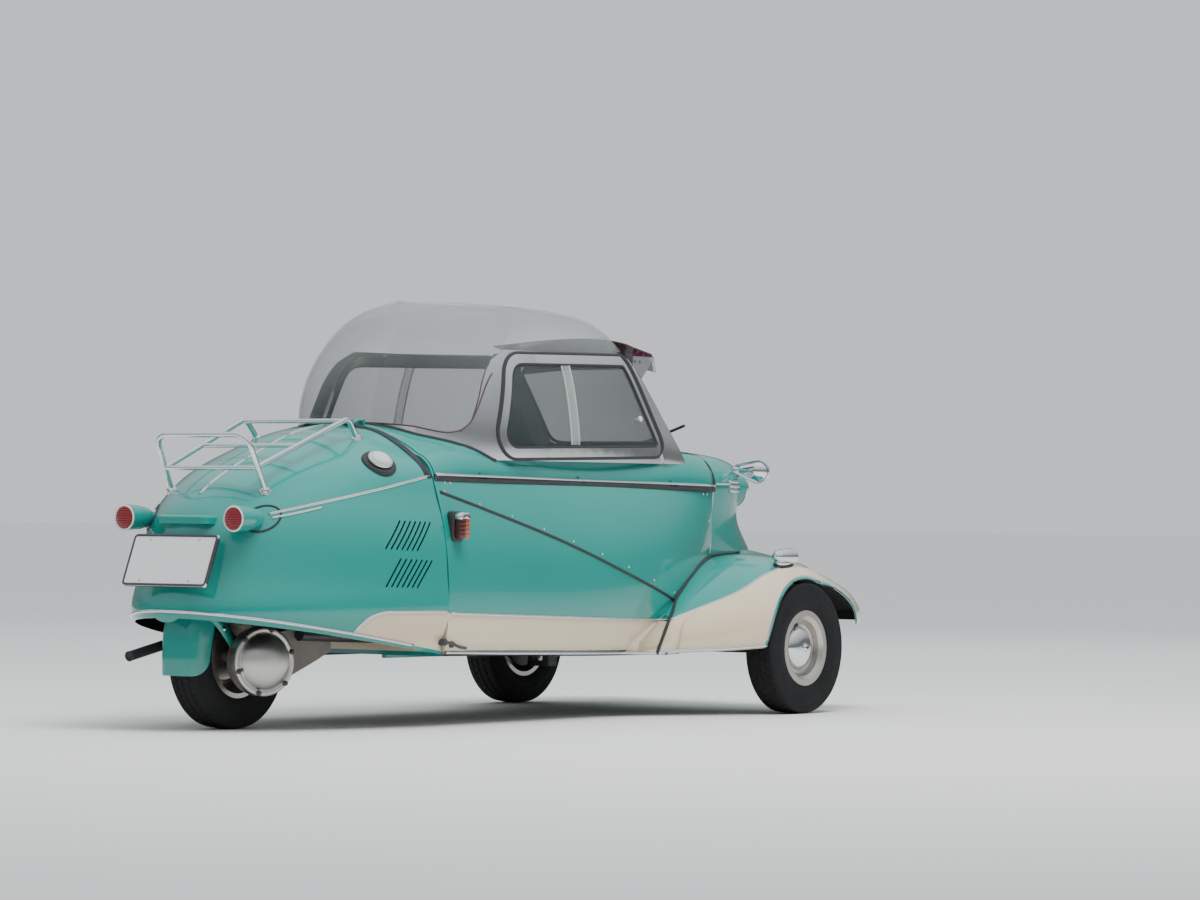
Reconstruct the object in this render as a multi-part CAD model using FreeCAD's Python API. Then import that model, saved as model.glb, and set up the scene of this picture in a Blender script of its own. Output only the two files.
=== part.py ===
# Three-wheeled bubble car with a clear hinged canopy, in millimetres.
# X is across the car with its right side at -X, the front faces -Y and +Z is up.
# The origin lies on the ground, midway between the foremost and the rearmost point.
# "back" is a distance behind the front axle, "half" a distance from the centre plane.

import FreeCAD
import Part
import math
import os
from FreeCAD import Placement, Rotation, Vector

doc = FreeCAD.newDocument("bubble_car")
sheet = doc.addObject("Spreadsheet::Sheet", "Sizes")

DRIVING_SIZES = [
    ("wheelbase", 2030, "front axle to rear axle"),
    ("half_track", 540, "centre plane to the middle of a front wheel"),
    ("front_axle_y", -890, "front axle from the origin"),
    ("wheel_z", 201, "wheel centres above the ground"),
    ("tyre_radius", 201, "tyre, outside"),
    ("tyre_half_width", 51, "tyre, half of its width"),
    ("tread_half_width", 33, "tyre, half of its tread"),
    ("bead_radius", 106, "tyre seat on the rim"),
    ("bead_half_width", 38, "half the distance between the beads"),
    ("rim_flange_radius", 115, "rim, outside"),
    ("rim_gauge", 4, "rim sheet"),
    ("rim_dish", 14, "rim disc outside of the wheel's middle"),
    ("cap_radius", 52, "hub cap"),
    ("cap_height", 30, "hub cap, out of the rim disc"),
    ("kingpin_half", 462, "kingpins from the centre plane"),
    ("kingpin_radius", 17, "kingpin upright"),
    ("kingpin_height", 130, "kingpin upright, end to end"),
    ("stub_radius", 14, "stub axle"),
    ("drum_radius", 82, "brake drum"),
    ("drum_depth", 34, "brake drum along the axle"),
    ("hub_gap", 0.3, "running gap between a wheel and its axle"),
    ("cross_tube_radius", 20, "front cross tube"),
    ("tyre_room", 7.5, "room left around a steered tyre"),
    ("steer_reach", 20, "front wheels, steered to either side, degrees"),
    ("front_seam_back", 88, "nose to tub"),
    ("rear_seam_back", 1565, "tub to tail"),
    ("seam_gap", 5, "gap round the canopy and the tail"),
    ("bulkhead_gauge", 8, "rear bulkhead, whose rim shows between canopy and tail"),
    ("hinge_radius", 4.5, "canopy hinge knuckles"),
    ("hinge_pin_radius", 2, "canopy and tail hinge pins"),
    ("hinge_out", 5.2, "canopy hinge line, out of the belt line"),
    ("hinge_up", 2, "canopy hinge line above the belt line"),
    ("hinge_half_length", 22, "hinges, half of their length"),
    ("tail_hinge_back", 1561, "tail hinge line"),
    ("tail_hinge_z", 868, "tail hinge line above the ground"),
    ("tail_hinge_half", 80, "tail hinges from the centre plane"),
    ("seat_gap", 0.3, "gap between a piece and its seat"),
    ("panel_gauge", 4, "body panels with their flanges"),
    ("belt_front_z", 691, "belt line at the nose"),
    ("belt_rear_z", 711, "belt line at the tail"),
    ("tail_bottom_front_z", 206, "tail edge at the seam"),
    ("tail_bottom_rear_z", 312, "tail edge at the rear"),
    ("tail_reach", 722, "tail behind the rear seam"),
    ("slot_width", 5, "louvre slots in the tail"),
    ("glass_gauge", 4, "dome and windscreen"),
    ("glass_middle_back", 1000, "widest place of the greenhouse"),
    ("frame_proud", 5, "window frames, out of the glass"),
    ("frame_width", 26, "window frames"),
    ("flange_width", 16, "panel flange inside the glass"),
    ("fender_gauge", 3, "fender sheet"),
    ("lamp_half", 199, "tail lamps from the centre plane"),
    ("lamp_back", 2242, "tail lamp lens"),
    ("lamp_z", 587, "tail lamps above the ground"),
    ("lamp_radius", 37, "tail lamp pods"),
    ("lamp_length", 120, "tail lamp pods"),
    ("head_half", 166, "headlamps from the centre plane"),
    ("head_back", -196, "headlamp rim"),
    ("head_z", 690, "headlamps above the ground"),
    ("head_radius", 62, "headlamp rim"),
    ("head_length", 130, "headlamp pods"),
    ("hood_half", 100, "plate lamp hood"),
    ("hood_back", 2238, "plate lamp hood, rear edge"),
    ("hood_z", 572, "plate lamp hood, underside"),
    ("hood_height", 24, "plate lamp hood"),
    ("plate_width", 305, "number plate"),
    ("plate_height", 152, "number plate"),
    ("plate_gauge", 5, "number plate with its frame"),
    ("plate_back", 2272, "number plate's middle"),
    ("plate_z", 469, "number plate's middle"),
    ("plate_tilt", 22, "number plate from upright, degrees"),
    ("hole_spacing_x", 178, "number plate screws, across"),
    ("hole_spacing_z", 121, "number plate screws, up"),
    ("hole_radius", 3.5, "number plate screw holes"),
    ("rack_tube_radius", 8, "luggage rack tubes"),
    ("rack_bend", 45, "luggage rack bends"),
    ("cap_back", 1731, "fuel cap"),
    ("cap_half", 294, "fuel cap from the centre plane"),
    ("cap_z", 746, "fuel cap above the ground"),
    ("filler_radius", 36, "fuel cap"),
    ("filler_height", 16, "fuel cap, out of its seat"),
    ("seat_half", 215, "front seat"),
    ("bench_half", 280, "rear bench"),
    ("column_radius", 13, "steering shaft"),
    ("column_gap", 0.5, "running gap round the steering shaft"),
    ("bar_radius", 13, "steering bar"),
    ("bar_half", 190, "steering bar"),
    ("case_half_width", 34, "chain case"),
    ("case_half", 100, "middle of the chain case from the centre plane"),
    ("cover_radius", 98, "hub cover flange"),
    ("cover_dome_radius", 74, "hub cover dome"),
    ("cover_depth", 52, "hub cover dome"),
    ("cover_yaw", 18, "hub cover turned to the rear, degrees"),
    ("guard_gap", 16, "rear mudguard off the tyre"),
    ("guard_half", 64, "rear mudguard"),
    ("guard_corner", 34, "rear mudguard, lower corners"),
    ("pipe_radius", 14, "exhaust pipe"),
    ("rail_height", 13, "belt rails"),
    ("rail_depth", 9, "belt rails, out of the tub"),
]
for row, (alias, value, note) in enumerate(DRIVING_SIZES, 1):
    sheet.set(f"A{row}", note)
    sheet.set(f"B{row}", str(value))
    sheet.setAlias(f"B{row}", alias)
doc.recompute()


class Sizes:
    """The driving dimensions, read back from the sheet."""


for alias, value, note in DRIVING_SIZES:
    setattr(Sizes, alias, float(sheet.get(alias)))


def at(half, back, z):
    """A point by its distance from the centre plane and behind the front axle."""
    return Vector(half, Sizes.front_axle_y + back, z)


def feature(label, shape):
    """A sub-part whose shape comes from Part's functions."""
    piece = doc.addObject("Part::Feature", label)
    piece.Label = label
    piece.Shape = shape
    return piece


def mirrored(shape):
    """The same shape on the other side of the centre plane."""
    return shape.mirror(Vector(0, 0, 0), Vector(1, 0, 0))


def arc(a, b, c):
    return Part.Arc(a, b, c).toShape()


def line(a, b):
    return Part.LineSegment(a, b).toShape()


def loft(wires):
    solid = Part.makeLoft(wires, True, False)
    if solid.Volume < 0:
        solid.reverse()
    return solid


def slab(corners, thickness):
    """A closed polygon, filled and pushed along a vector."""
    return Part.Face(Part.makePolygon(corners + corners[:1])).extrude(thickness)


BIG = 3000


def half_oval(seam_back, half_width, reach, z):
    """Level outline: straight across the seam, then half an ellipse that reaches away from it."""
    middle = at(0, seam_back, z)
    side = at(half_width, seam_back, z)
    tip = at(0, seam_back + reach, z)
    if abs(reach) > half_width:
        ellipse = Part.Ellipse(tip, at(-half_width, seam_back, z), middle)
        curve = Part.ArcOfEllipse(ellipse, -math.pi / 2, math.pi / 2)
    else:
        curve = Part.ArcOfEllipse(Part.Ellipse(side, tip, middle), 0, math.pi)
    return Part.Wire([curve.toShape(), line(curve.EndPoint, curve.StartPoint)])


# Nose and tail outlines by height: z, half width at the seam, reach from the seam.
NOSE_LEVELS = [
    (232, 205, 395), (320, 240, 455), (420, 270, 484), (490, 281, 472), (545, 283, 412), (600, 284, 368),
    (690, 290, 380),
    (740, 280, 380), (768, 258, 345), (784, 236, 270), (794, 205, 170), (798, 150, 80),
]
NOSE_BROW_Z = 740
TAIL_LEVELS = [
    (195, 409, 700), (300, 419, 722), (400, 420, 708), (500, 412, 680), (590, 395, 648),
    (660, 371, 580), (718, 352, 476), (773, 292, 345), (822, 208, 215), (846, 135, 118), (858, 60, 40),
]


def nose_solid(inset):
    """The nose, or its inside at an inset from every outer face."""
    seam = Sizes.front_seam_back
    wires = []
    for z, half_width, reach in NOSE_LEVELS:
        lift = inset if z == NOSE_LEVELS[0][0] else -inset if z > NOSE_BROW_Z else 0
        wires.append(half_oval(seam, half_width - inset, -(reach - inset), z + lift))
    brow = [level[0] for level in NOSE_LEVELS].index(NOSE_BROW_Z)
    return loft(wires[:brow + 1]).fuse(loft(wires[brow:]))


def tail_solid(inset):
    """The tail, or its inside at an inset from every outer face."""
    seam = Sizes.rear_seam_back
    deepest = max(reach for z, half_width, reach in TAIL_LEVELS)
    stretch = Sizes.tail_reach / deepest
    wires = []
    for z, half_width, reach in TAIL_LEVELS:
        drop = inset if z > 600 else 0
        wires.append(half_oval(seam, half_width - inset, reach * stretch - inset, z - drop))
    return loft(wires)


# Tub sections from front to rear, as heights and half widths:
# back, floor half, floor z, sill half, sill z, hip half, hip z, belt half, belt z, shoulder half, shoulder z, crown z
TUB_SECTIONS = [
    (88, 200, 186, 240, 215, 284, 500, 291, 704, 240, 785, 799),
    (450, 300, 184, 352, 216, 380, 400, 307, 706, 258, 786, 812),
    (1000, 345, 192, 398, 225, 412, 350, 330, 712, 276, 784, 838),
    (1400, 356, 200, 408, 234, 419, 350, 348, 716, 300, 797, 876),
    (1565, 360, 202, 411, 236, 420, 350, 353, 718, 292, 773, 859),
]


def tub_section(row, inset):
    """One closed section: floor, two sill corners, two sides, two shoulders and the crown."""
    back, floor, floor_z, sill, sill_z, hip, hip_z, belt, belt_z, shoulder, shoulder_z, crown_z = row
    floor, sill, hip, belt, shoulder = (v - inset for v in (floor, sill, hip, belt, shoulder))
    floor_z, sill_z = floor_z + inset, sill_z + inset
    shoulder_z, crown_z = shoulder_z - inset, crown_z - inset
    corner = (floor + (sill - floor) * 0.75, floor_z + (sill_z - floor_z) * 0.32)
    bulge = (belt - (belt - shoulder) * 0.38, belt_z + (shoulder_z - belt_z) * 0.64)
    left = [(floor, floor_z), corner, (sill, sill_z), (hip, hip_z), (belt, belt_z), bulge,
            (shoulder, shoulder_z)]
    points = [at(x, back, z) for x, z in left] + [at(0, back, crown_z)]
    points += [at(-x, back, z) for x, z in reversed(left)]
    edges = [arc(*points[k:k + 3]) for k in range(0, len(points) - 2, 2)]
    return Part.Wire(edges + [line(points[-1], points[0])])


def tub_solid(inset):
    return loft([tub_section(row, inset) for row in TUB_SECTIONS])


def belt_cut(gap, above):
    """All the space above, or below, the slanting belt plane, at a gap from it."""
    side = 1 if above else -1
    front, rear = Sizes.front_seam_back, Sizes.rear_seam_back
    slope = (Sizes.belt_rear_z - Sizes.belt_front_z) / (rear - front)
    near, far = front - BIG, rear + BIG
    near_z = Sizes.belt_front_z - slope * BIG + gap * side
    far_z = Sizes.belt_rear_z + slope * BIG + gap * side
    corners = [at(-BIG, near, near_z), at(BIG, near, near_z), at(BIG, far, far_z), at(-BIG, far, far_z)]
    return slab(corners, Vector(0, 0, side * BIG))


def span(back_low, back_high):
    """All the space between two planes across the car."""
    return Part.makeBox(2 * BIG, back_high - back_low, 2 * BIG, at(-BIG, back_low, -BIG))


# Greenhouse outlines by height: z, windscreen middle, pillar half, pillar back, half width, rear.
GREENHOUSE_LEVELS = [
    (760, 112, 272, 214, 336, 1518), (870, 205, 268, 305, 333, 1532), (970, 290, 258, 388, 314, 1522),
    (1070, 375, 240, 470, 281, 1470), (1130, 408, 205, 505, 242, 1425), (1170, 432, 160, 520, 197, 1385),
    (1203, 505, 105, 580, 138, 1325), (1222, 700, 55, 740, 76, 1268), (1230, 930, 22, 950, 28, 1190),
]
SQUARENESS = 2.9


def rounded(half_width, start, end, angle):
    """A point of the squarish oval between the widest place and the rear, by its angle in degrees."""
    power = 2 / SQUARENESS
    x = half_width * math.cos(math.radians(angle)) ** power
    return x, start + (end - start) * math.sin(math.radians(angle)) ** power


def greenhouse_outline(row, offset):
    """Closed level outline of six arcs: windscreen, two sides, two rear corners and the rear."""
    z, middle, pillar, pillar_back, half_width, rear = row
    middle, pillar_back, rear = middle - offset, pillar_back - offset * 0.5, rear + offset
    pillar, half_width = pillar + offset, half_width + offset
    waist = min(max(Sizes.glass_middle_back, pillar_back + 30), rear - 60)
    side_x = (pillar + half_width) / 2 + (half_width - pillar) * 0.3
    side_back = (pillar_back + waist) / 2
    corner = rounded(half_width, waist, rear, 28)
    end = rounded(half_width, waist, rear, 58)
    right = [(pillar, pillar_back), (side_x, side_back), (half_width, waist), corner, end]
    points = [at(x, back, z) for x, back in right] + [at(0, rear, z)]
    points += [at(-x, back, z) for x, back in reversed(right)] + [at(0, middle, z), at(pillar, pillar_back, z)]
    return Part.Wire([arc(*points[k:k + 3]) for k in range(0, len(points) - 2, 2)])


def greenhouse(offset):
    """The whole glazed volume, grown or shrunk by an offset."""
    wires = []
    for row in GREENHOUSE_LEVELS:
        z = row[0] + (offset if row[0] > 1200 else 0)
        wires.append(greenhouse_outline((z,) + row[1:], offset))
    return loft(wires)


def rounded_polygon(corners, radii):
    """A closed wire through corners, each rounded by its own radius."""
    edges = []
    count = len(corners)
    ends = []
    for k in range(count):
        before, here, after = corners[k - 1], corners[k], corners[(k + 1) % count]
        to_before, to_after = (before - here).normalize(), (after - here).normalize()
        half_angle = to_before.getAngle(to_after) / 2
        run = radii[k] / math.tan(half_angle)
        middle = here + (to_before + to_after).normalize() * (radii[k] / math.sin(half_angle) - radii[k])
        ends.append((here + to_before * run, middle, here + to_after * run))
    for k in range(count):
        edges.append(arc(*ends[k]))
        edges.append(line(ends[k][2], ends[(k + 1) % count][0]))
    return Part.Wire(edges)


def grown(corners, distance):
    """The corners of a convex polygon in one plane, moved out by a distance along both edges."""
    centre = Vector(0, 0, 0)
    for corner in corners:
        centre += corner
    centre = centre * (1 / len(corners))
    moved = []
    count = len(corners)
    for k in range(count):
        before, here, after = corners[k - 1], corners[k], corners[(k + 1) % count]
        one, two = (here - before).normalize(), (after - here).normalize()
        turn = one.cross(two).normalize()
        out_one, out_two = one.cross(turn), two.cross(turn)
        if (here - centre).dot(out_one) < 0:
            out_one, out_two = out_one * -1, out_two * -1
        moved.append(here + (out_one + out_two) * (distance / (1 + out_one.dot(out_two))))
    return moved


# Side window frame, outer corners on the right side: back, z, radius.
SIDE_FRAME = [(1262, 766, 70), (345, 784, 38), (500, 1082, 40), (1152, 1070, 92)]
# Windscreen frame, outer corners seen from the front: half, z, radius.
SCREEN_FRAME = [(252, 798, 46), (232, 1082, 44)]


def side_window(grow):
    corners = grown([at(0, back, z) for back, z, radius in SIDE_FRAME], grow)
    radii = [max(radius + grow, 6) for back, z, radius in SIDE_FRAME]
    return Part.Face(rounded_polygon(corners, radii)).extrude(Vector(-BIG, 0, 0))


def screen_window(grow):
    low, high = SCREEN_FRAME
    rows = [(low[0], low[1], low[2]), (high[0], high[1], high[2]),
            (-high[0], high[1], high[2]), (-low[0], low[1], low[2])]
    corners = grown([at(half, -BIG, z) for half, z, radius in rows], grow)
    radii = [max(radius + grow, 6) for half, z, radius in rows]
    return Part.Face(rounded_polygon(corners, radii)).extrude(Vector(0, BIG + 560, 0))


# Tub, canopy panel, nose and tail come from three outer forms and their insides.
gauge = Sizes.panel_gauge
gap = Sizes.seam_gap
tub_outer = tub_solid(0)
tub_inner = tub_solid(gauge)
front_face = Sizes.front_seam_back
rear_face = Sizes.rear_seam_back

bulkhead_face = rear_face - Sizes.bulkhead_gauge
tub_shell = tub_outer.cut(tub_inner.common(span(front_face - gap, bulkhead_face)))
tub = tub_shell.common(belt_cut(0, False)).common(span(front_face, rear_face))
bulkhead = tub_outer.common(span(bulkhead_face, rear_face))
canopy_shell = tub_outer.cut(tub_inner)
canopy_panel = canopy_shell.common(belt_cut(gap, True)).common(span(front_face + gap, bulkhead_face - gap))
canopy_panel = canopy_panel.cut(greenhouse(-Sizes.flange_width))


def prism(outline, thickness):
    return Part.Face(Part.makePolygon(outline + outline[:1])).extrude(thickness)


# Canopy hinges along the right belt line: an eye on the canopy between two eyes and a pin on the tub.
belt_start = at(-292 - Sizes.hinge_out, Sizes.front_seam_back, Sizes.belt_front_z + Sizes.hinge_up)
belt_end = at(-353 - Sizes.hinge_out, Sizes.rear_seam_back, Sizes.belt_rear_z + Sizes.hinge_up)
belt_along = (belt_end - belt_start).normalize()
belt_inward = Vector(0, 0, 1).cross(belt_along) * -1
half_length, pin = Sizes.hinge_half_length, Sizes.hinge_pin_radius
eye_gap = Sizes.seat_gap


def eye(middle, along, low, high, radius):
    return Part.makeCylinder(radius, high - low, middle + along * low, along)


def hinge_leaf(middle, low, high, side):
    """A leaf from the hinge line, up or down and into the panel behind it."""
    corners = [(-1.5, 0), (-1.5, 13), (8.5, 13), (8.5, 8), (1.5, 8), (1.5, 0)]
    start = middle + belt_along * low
    outline = [start + belt_inward * across + Vector(0, 0, side * up) for across, up in corners]
    return prism(outline, belt_along * (high - low))


for share in (0.16, 0.5, 0.84):
    middle = belt_start + (belt_end - belt_start) * share
    third = half_length / 3
    canopy_eye = eye(middle, belt_along, -third, third, Sizes.hinge_radius)
    canopy_eye = canopy_eye.fuse(hinge_leaf(middle, -third, third, 1))
    room = eye(middle, belt_along, -half_length - eye_gap, half_length + eye_gap, Sizes.hinge_radius + 1)
    tub = tub.cut(room)
    canopy_panel = canopy_panel.cut(room).fuse(canopy_eye)
    canopy_panel = canopy_panel.cut(eye(middle, belt_along, -half_length, half_length, pin + eye_gap))
    for low, high in ((-half_length, -third - eye_gap), (third + eye_gap, half_length)):
        tub = tub.fuse([eye(middle, belt_along, low, high, Sizes.hinge_radius), hinge_leaf(middle, low, high, -1)])
    tub = tub.fuse(eye(middle, belt_along, -half_length, half_length, pin))

# Tail hinges: two ears and a pin on the bulkhead, an eye with a leaf on the tail.
tail_leaf = [(1557, 866), (1560, 872.5), (1600, 859), (1600, 845), (1574, 850), (1568, 862)]
tail_eyes = []
across = Vector(1, 0, 0)
for side in (-1, 1):
    middle = at(side * Sizes.tail_hinge_half, Sizes.tail_hinge_back, Sizes.tail_hinge_z)
    third = half_length / 3
    for low, high in ((-half_length, -third - eye_gap), (third + eye_gap, half_length)):
        ear = Part.makeBox(high - low, 8, 24, middle + Vector(low, -4, -24))
        tub = tub.fuse([ear, eye(middle, across, low, high, 5)])
    tub = tub.fuse(eye(middle, across, -half_length, half_length, pin))
    start = middle.x - third
    leaf = prism([at(start, back, z) for back, z in tail_leaf], across * (2 * third))
    leaf = leaf.fuse(eye(middle, across, -third, third, 5))
    leaf = leaf.cut(eye(middle, across, -half_length, half_length, pin + eye_gap))
    tail_eyes.append(leaf)

# Seat runners on the floor.
for half in (-150, 134):
    for back_low, back_high in ((660, 1090), (1210, 1510)):
        tub = tub.fuse(Part.makeBox(16, back_high - back_low, 110, at(half, back_low, 190)))
tub = tub.fuse(bulkhead).removeSplitter()
feature("tub", tub)
feature("canopy_panel", canopy_panel)

nose = nose_solid(0).cut(nose_solid(gauge))
feature("nose_cowl", nose)

tail_outer = tail_solid(0)
tail = tail_outer.cut(tail_solid(gauge))
bottom = [at(-BIG, rear_face - 10, Sizes.tail_bottom_front_z), at(BIG, rear_face - 10, Sizes.tail_bottom_front_z),
          at(BIG, rear_face + Sizes.tail_reach, Sizes.tail_bottom_rear_z),
          at(-BIG, rear_face + Sizes.tail_reach, Sizes.tail_bottom_rear_z)]
tail = tail.cut(slab(bottom, Vector(0, 0, -BIG))).common(span(rear_face + gap, BIG))
# Louvre groups: back and z of the first slot's lower and upper end, then of the last slot's.
LOUVRE_GROUPS = [(1808, 506, 1742, 585, 1693, 500, 1624, 581), (1815, 400, 1755, 479, 1701, 397, 1634, 473)]
SLOTS = 7
slots = []
for first_back, first_z, first_top_back, first_top_z, last_back, last_z, last_top_back, last_top_z in LOUVRE_GROUPS:
    for k in range(SLOTS):
        share = k / (SLOTS - 1)
        low_end = Vector(0, first_back + (last_back - first_back) * share, first_z + (last_z - first_z) * share)
        high_end = Vector(0, first_top_back + (last_top_back - first_top_back) * share,
                          first_top_z + (last_top_z - first_top_z) * share)
        lean_way = (high_end - low_end).normalize()
        sideways = Vector(0, lean_way.z, -lean_way.y) * (Sizes.slot_width / 2)
        corners = [low_end + sideways, high_end + sideways, high_end - sideways, low_end - sideways]
        slots.append(prism([at(-BIG / 2, corner.y, corner.z) for corner in corners], Vector(BIG, 0, 0)))
tail = tail.cut(slots)
tail = tail.fuse([leaf.cut(tail_solid(gauge)) for leaf in tail_eyes])
feature("tail_shell", tail)

# Glass and its frames share the greenhouse form.
glass_shell = greenhouse(0).cut(greenhouse(-Sizes.glass_gauge))
frame_shell = greenhouse(Sizes.frame_proud).cut(greenhouse(-Sizes.frame_proud - Sizes.glass_gauge))
glass_shell = glass_shell.cut(tub_outer)
frame_shell = frame_shell.cut(tub_outer)
side_outer, side_inner = side_window(0), side_window(-Sizes.frame_width)
screen_inner = screen_window(-Sizes.frame_width)

window_frame = frame_shell.common(side_outer).cut(side_inner)
window_glass = glass_shell.common(side_inner)
front_zone = slab([at(-BIG, -200, 600), at(-BIG, 285, 600), at(-BIG, 515, 1096), at(-BIG, -200, 1096)],
                  Vector(2 * BIG, 0, 0))
both_sides = side_outer.fuse(mirrored(side_outer))
screen_frame = frame_shell.common(front_zone).cut(screen_inner).cut(both_sides)
screen_glass = glass_shell.common(front_zone).common(screen_inner)
dome = glass_shell.cut(both_sides).cut(front_zone)
feature("window_frames", Part.makeCompound([window_frame, mirrored(window_frame)]))
feature("window_panes", Part.makeCompound([window_glass, mirrored(window_glass)]))
feature("windscreen_frame", screen_frame)
feature("windscreen", screen_glass)
dome = sorted(dome.Solids, key=lambda solid: solid.Volume)[-1]
feature("dome", dome)


# Fender sections from front to rear, right and left alike:
# back, inner half, inner z, crown half, crown z, shoulder half, shoulder z, side half, side z, foot half, foot z
FENDER_SECTIONS = [
    (-525, 345, 304, 386, 312, 418, 305, 438, 290, 434, 277),
    (-470, 285, 347, 366, 357, 432, 338, 474, 298, 470, 272),
    (-370, 225, 422, 366, 408, 466, 378, 531, 308, 526, 266),
    (-250, 150, 497, 372, 452, 506, 406, 582, 320, 576, 250),
    (-80, 205, 484, 420, 475, 545, 441, 607, 328, 602, 222),
    (100, 250, 466, 430, 472, 543, 438, 608, 326, 602, 212),
    (250, 290, 420, 430, 424, 512, 390, 572, 308, 567, 203),
    (400, 335, 340, 420, 340, 462, 318, 492, 260, 488, 195),
    (490, 372, 268, 388, 268, 402, 254, 412, 228, 410, 190),
]


def fender_solid(inset):
    wires = []
    last = len(FENDER_SECTIONS) - 1
    for k, row in enumerate(FENDER_SECTIONS):
        back = row[0] + (inset if k == 0 else -inset if k == last else 0)
        places = list(zip(row[1::2], row[2::2]))
        inner, crown, shoulder, side, foot = [
            (half - inset * (0 if name == "inner" else 0.4 if name == "crown" else 1),
             z - inset * (1 if name in ("inner", "crown") else 0.7 if name == "shoulder" else 0))
            for name, (half, z) in zip(("inner", "crown", "shoulder", "side", "foot"), places)]
        if inset and row[0] < -300:
            inner = (inner[0] + inset, inner[1])
        base_z = foot[1] - (60 if inset else 0)
        points = [at(inner[0], back, inner[1]), at(crown[0], back, crown[1]), at(shoulder[0], back, shoulder[1]),
                  at(side[0], back, side[1]), at(foot[0], back, foot[1])]
        base = [at(foot[0], back, base_z), at(inner[0], back, base_z)]
        edges = [arc(*points[0:3]), arc(*points[2:5])]
        if inset:
            edges.append(line(points[4], base[0]))
            edges.append(line(base[0], base[1]))
            edges.append(line(base[1], points[0]))
        else:
            edges.append(line(points[4], base[1]))
            edges.append(line(base[1], points[0]))
        wires.append(Part.Wire(edges))
    return loft(wires)


# Wheel arch outline seen from the side: back, z, from the rear foot over the top to the front.
ARCH = [(165, 150), (168, 262), (118, 330), (-90, 388), (-262, 344), (-345, 268), (-700, 266)]


def arch_cut():
    points = [at(-470, back, z) for back, z in ARCH]
    edges = [line(points[0], points[1]), arc(points[1], points[2], points[3]), arc(points[3], points[4], points[5]),
             line(points[5], points[6])]
    corners = [at(-470, -700, 100), at(-470, 165, 100)]
    edges += [line(points[6], corners[0]), line(corners[0], corners[1]), line(corners[1], points[0])]
    return Part.Face(Part.Wire(edges)).extrude(Vector(-400, 0, 0))


fender = mirrored(fender_solid(0)).cut(mirrored(fender_solid(Sizes.fender_gauge)))
nose_outer = nose_solid(0)
fender = fender.cut(arch_cut()).cut(nose_outer).cut(tub_outer)
# Room for the tyre as it steers.
kingpin = at(-Sizes.kingpin_half, 0, Sizes.wheel_z)
room_start = at(-Sizes.half_track + Sizes.tyre_half_width + Sizes.tyre_room, 0, Sizes.wheel_z)
tyre_rooms = []
for turn in (-Sizes.steer_reach, 0, Sizes.steer_reach):
    room = Part.makeCylinder(Sizes.tyre_radius + Sizes.tyre_room, 2 * (Sizes.tyre_half_width + Sizes.tyre_room),
                             room_start, Vector(-1, 0, 0))
    room.rotate(kingpin, Vector(0, 0, 1), turn)
    tyre_rooms.append(room)
fender = fender.cut(tyre_rooms)
fender = sorted(fender.Solids, key=lambda solid: solid.Volume)[-1]
feature("fender_right", fender)
feature("fender_left", mirrored(fender))


# Wheels: one profile each for tyre, rim and cap, turned about the axle.
def turned(outline, axle_point, outward):
    """A piece turned about an axle; outline corners are (along the axle, radius)."""
    points = [axle_point + outward * along + Vector(0, 0, radius) for along, radius in outline]
    face = Part.Face(Part.makePolygon(points + points[:1]))
    return face.revolve(axle_point, outward, 360)


def tyre_outline():
    w, t, b = Sizes.tyre_half_width, Sizes.tread_half_width, Sizes.bead_half_width
    top, low, lip = Sizes.tyre_radius, Sizes.bead_radius, Sizes.rim_flange_radius
    right = [(b, low), (b, lip + 2), (w, (top + lip) / 2), (w - 3, top - 13), (t, top)]
    return right + [(-x, r) for x, r in reversed(right)]


def faceted_ring(outline, centre, facets):
    """An outline of (along X, radius) carried round the axle in flat facets."""
    rings = []
    for k in range(facets):
        angle = 2 * math.pi * k / facets
        rings.append([centre + Vector(x, radius * math.sin(angle), radius * math.cos(angle))
                      for x, radius in outline])
    faces = []
    for ring, following in zip(rings, rings[1:] + rings[:1]):
        for here, along in zip(range(len(ring)), list(range(1, len(ring))) + [0]):
            corners = [ring[here], ring[along], following[along], following[here], ring[here]]
            faces.append(Part.Face(Part.makePolygon(corners)))
    solid = Part.Solid(Part.Shell(faces))
    if solid.Volume < 0:
        solid.reverse()
    return solid


def rim_outline():
    g, b = Sizes.rim_gauge, Sizes.bead_half_width
    low, lip, dish = Sizes.bead_radius - 0.3, Sizes.rim_flange_radius, Sizes.rim_dish
    hub = Sizes.stub_radius + Sizes.hub_gap
    return [(b + g, lip), (b + g, low - 8), (b - 6, low - 20), (dish + 2, low - 22), (dish + 6, 72), (dish, 62),
            (dish, hub), (dish - 6, hub), (dish - 6, 64), (dish, 76), (dish - 8, low - 24), (-b, low - g),
            (-b - g, low - 4), (-b - g, lip), (-b - 0.3, lip), (-b - 0.3, low), (b + 0.3, low), (b + 0.3, lip)]


def cap_outline():
    dish, r, depth = Sizes.rim_dish + 0.3, Sizes.cap_radius, Sizes.cap_height
    return [(dish, r), (dish + 10, r - 1), (dish + depth * 0.7, r * 0.72), (dish + depth, r * 0.36),
            (dish + depth + 2, 0), (dish + 3, 0), (dish + 3, r - 4), (dish, r - 4)]


TYRE_FACETS = 72
WHEELS = [("front_left", Sizes.half_track, 0, 1), ("front_right", -Sizes.half_track, 0, -1),
          ("rear", 0, Sizes.wheelbase, 1)]
for name, half, back, side in WHEELS:
    centre, outward = at(half, back, Sizes.wheel_z), Vector(side, 0, 0)
    feature(f"tyre_{name}", faceted_ring(tyre_outline(), centre, TYRE_FACETS))
    feature(f"rim_{name}", turned(rim_outline(), centre, outward))
    if name != "rear":
        feature(f"hub_cap_{name[6:]}", turned(cap_outline(), centre, outward))


def rod(start, end, radius):
    return Part.makeCylinder(radius, (end - start).Length, start, end - start)


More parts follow.
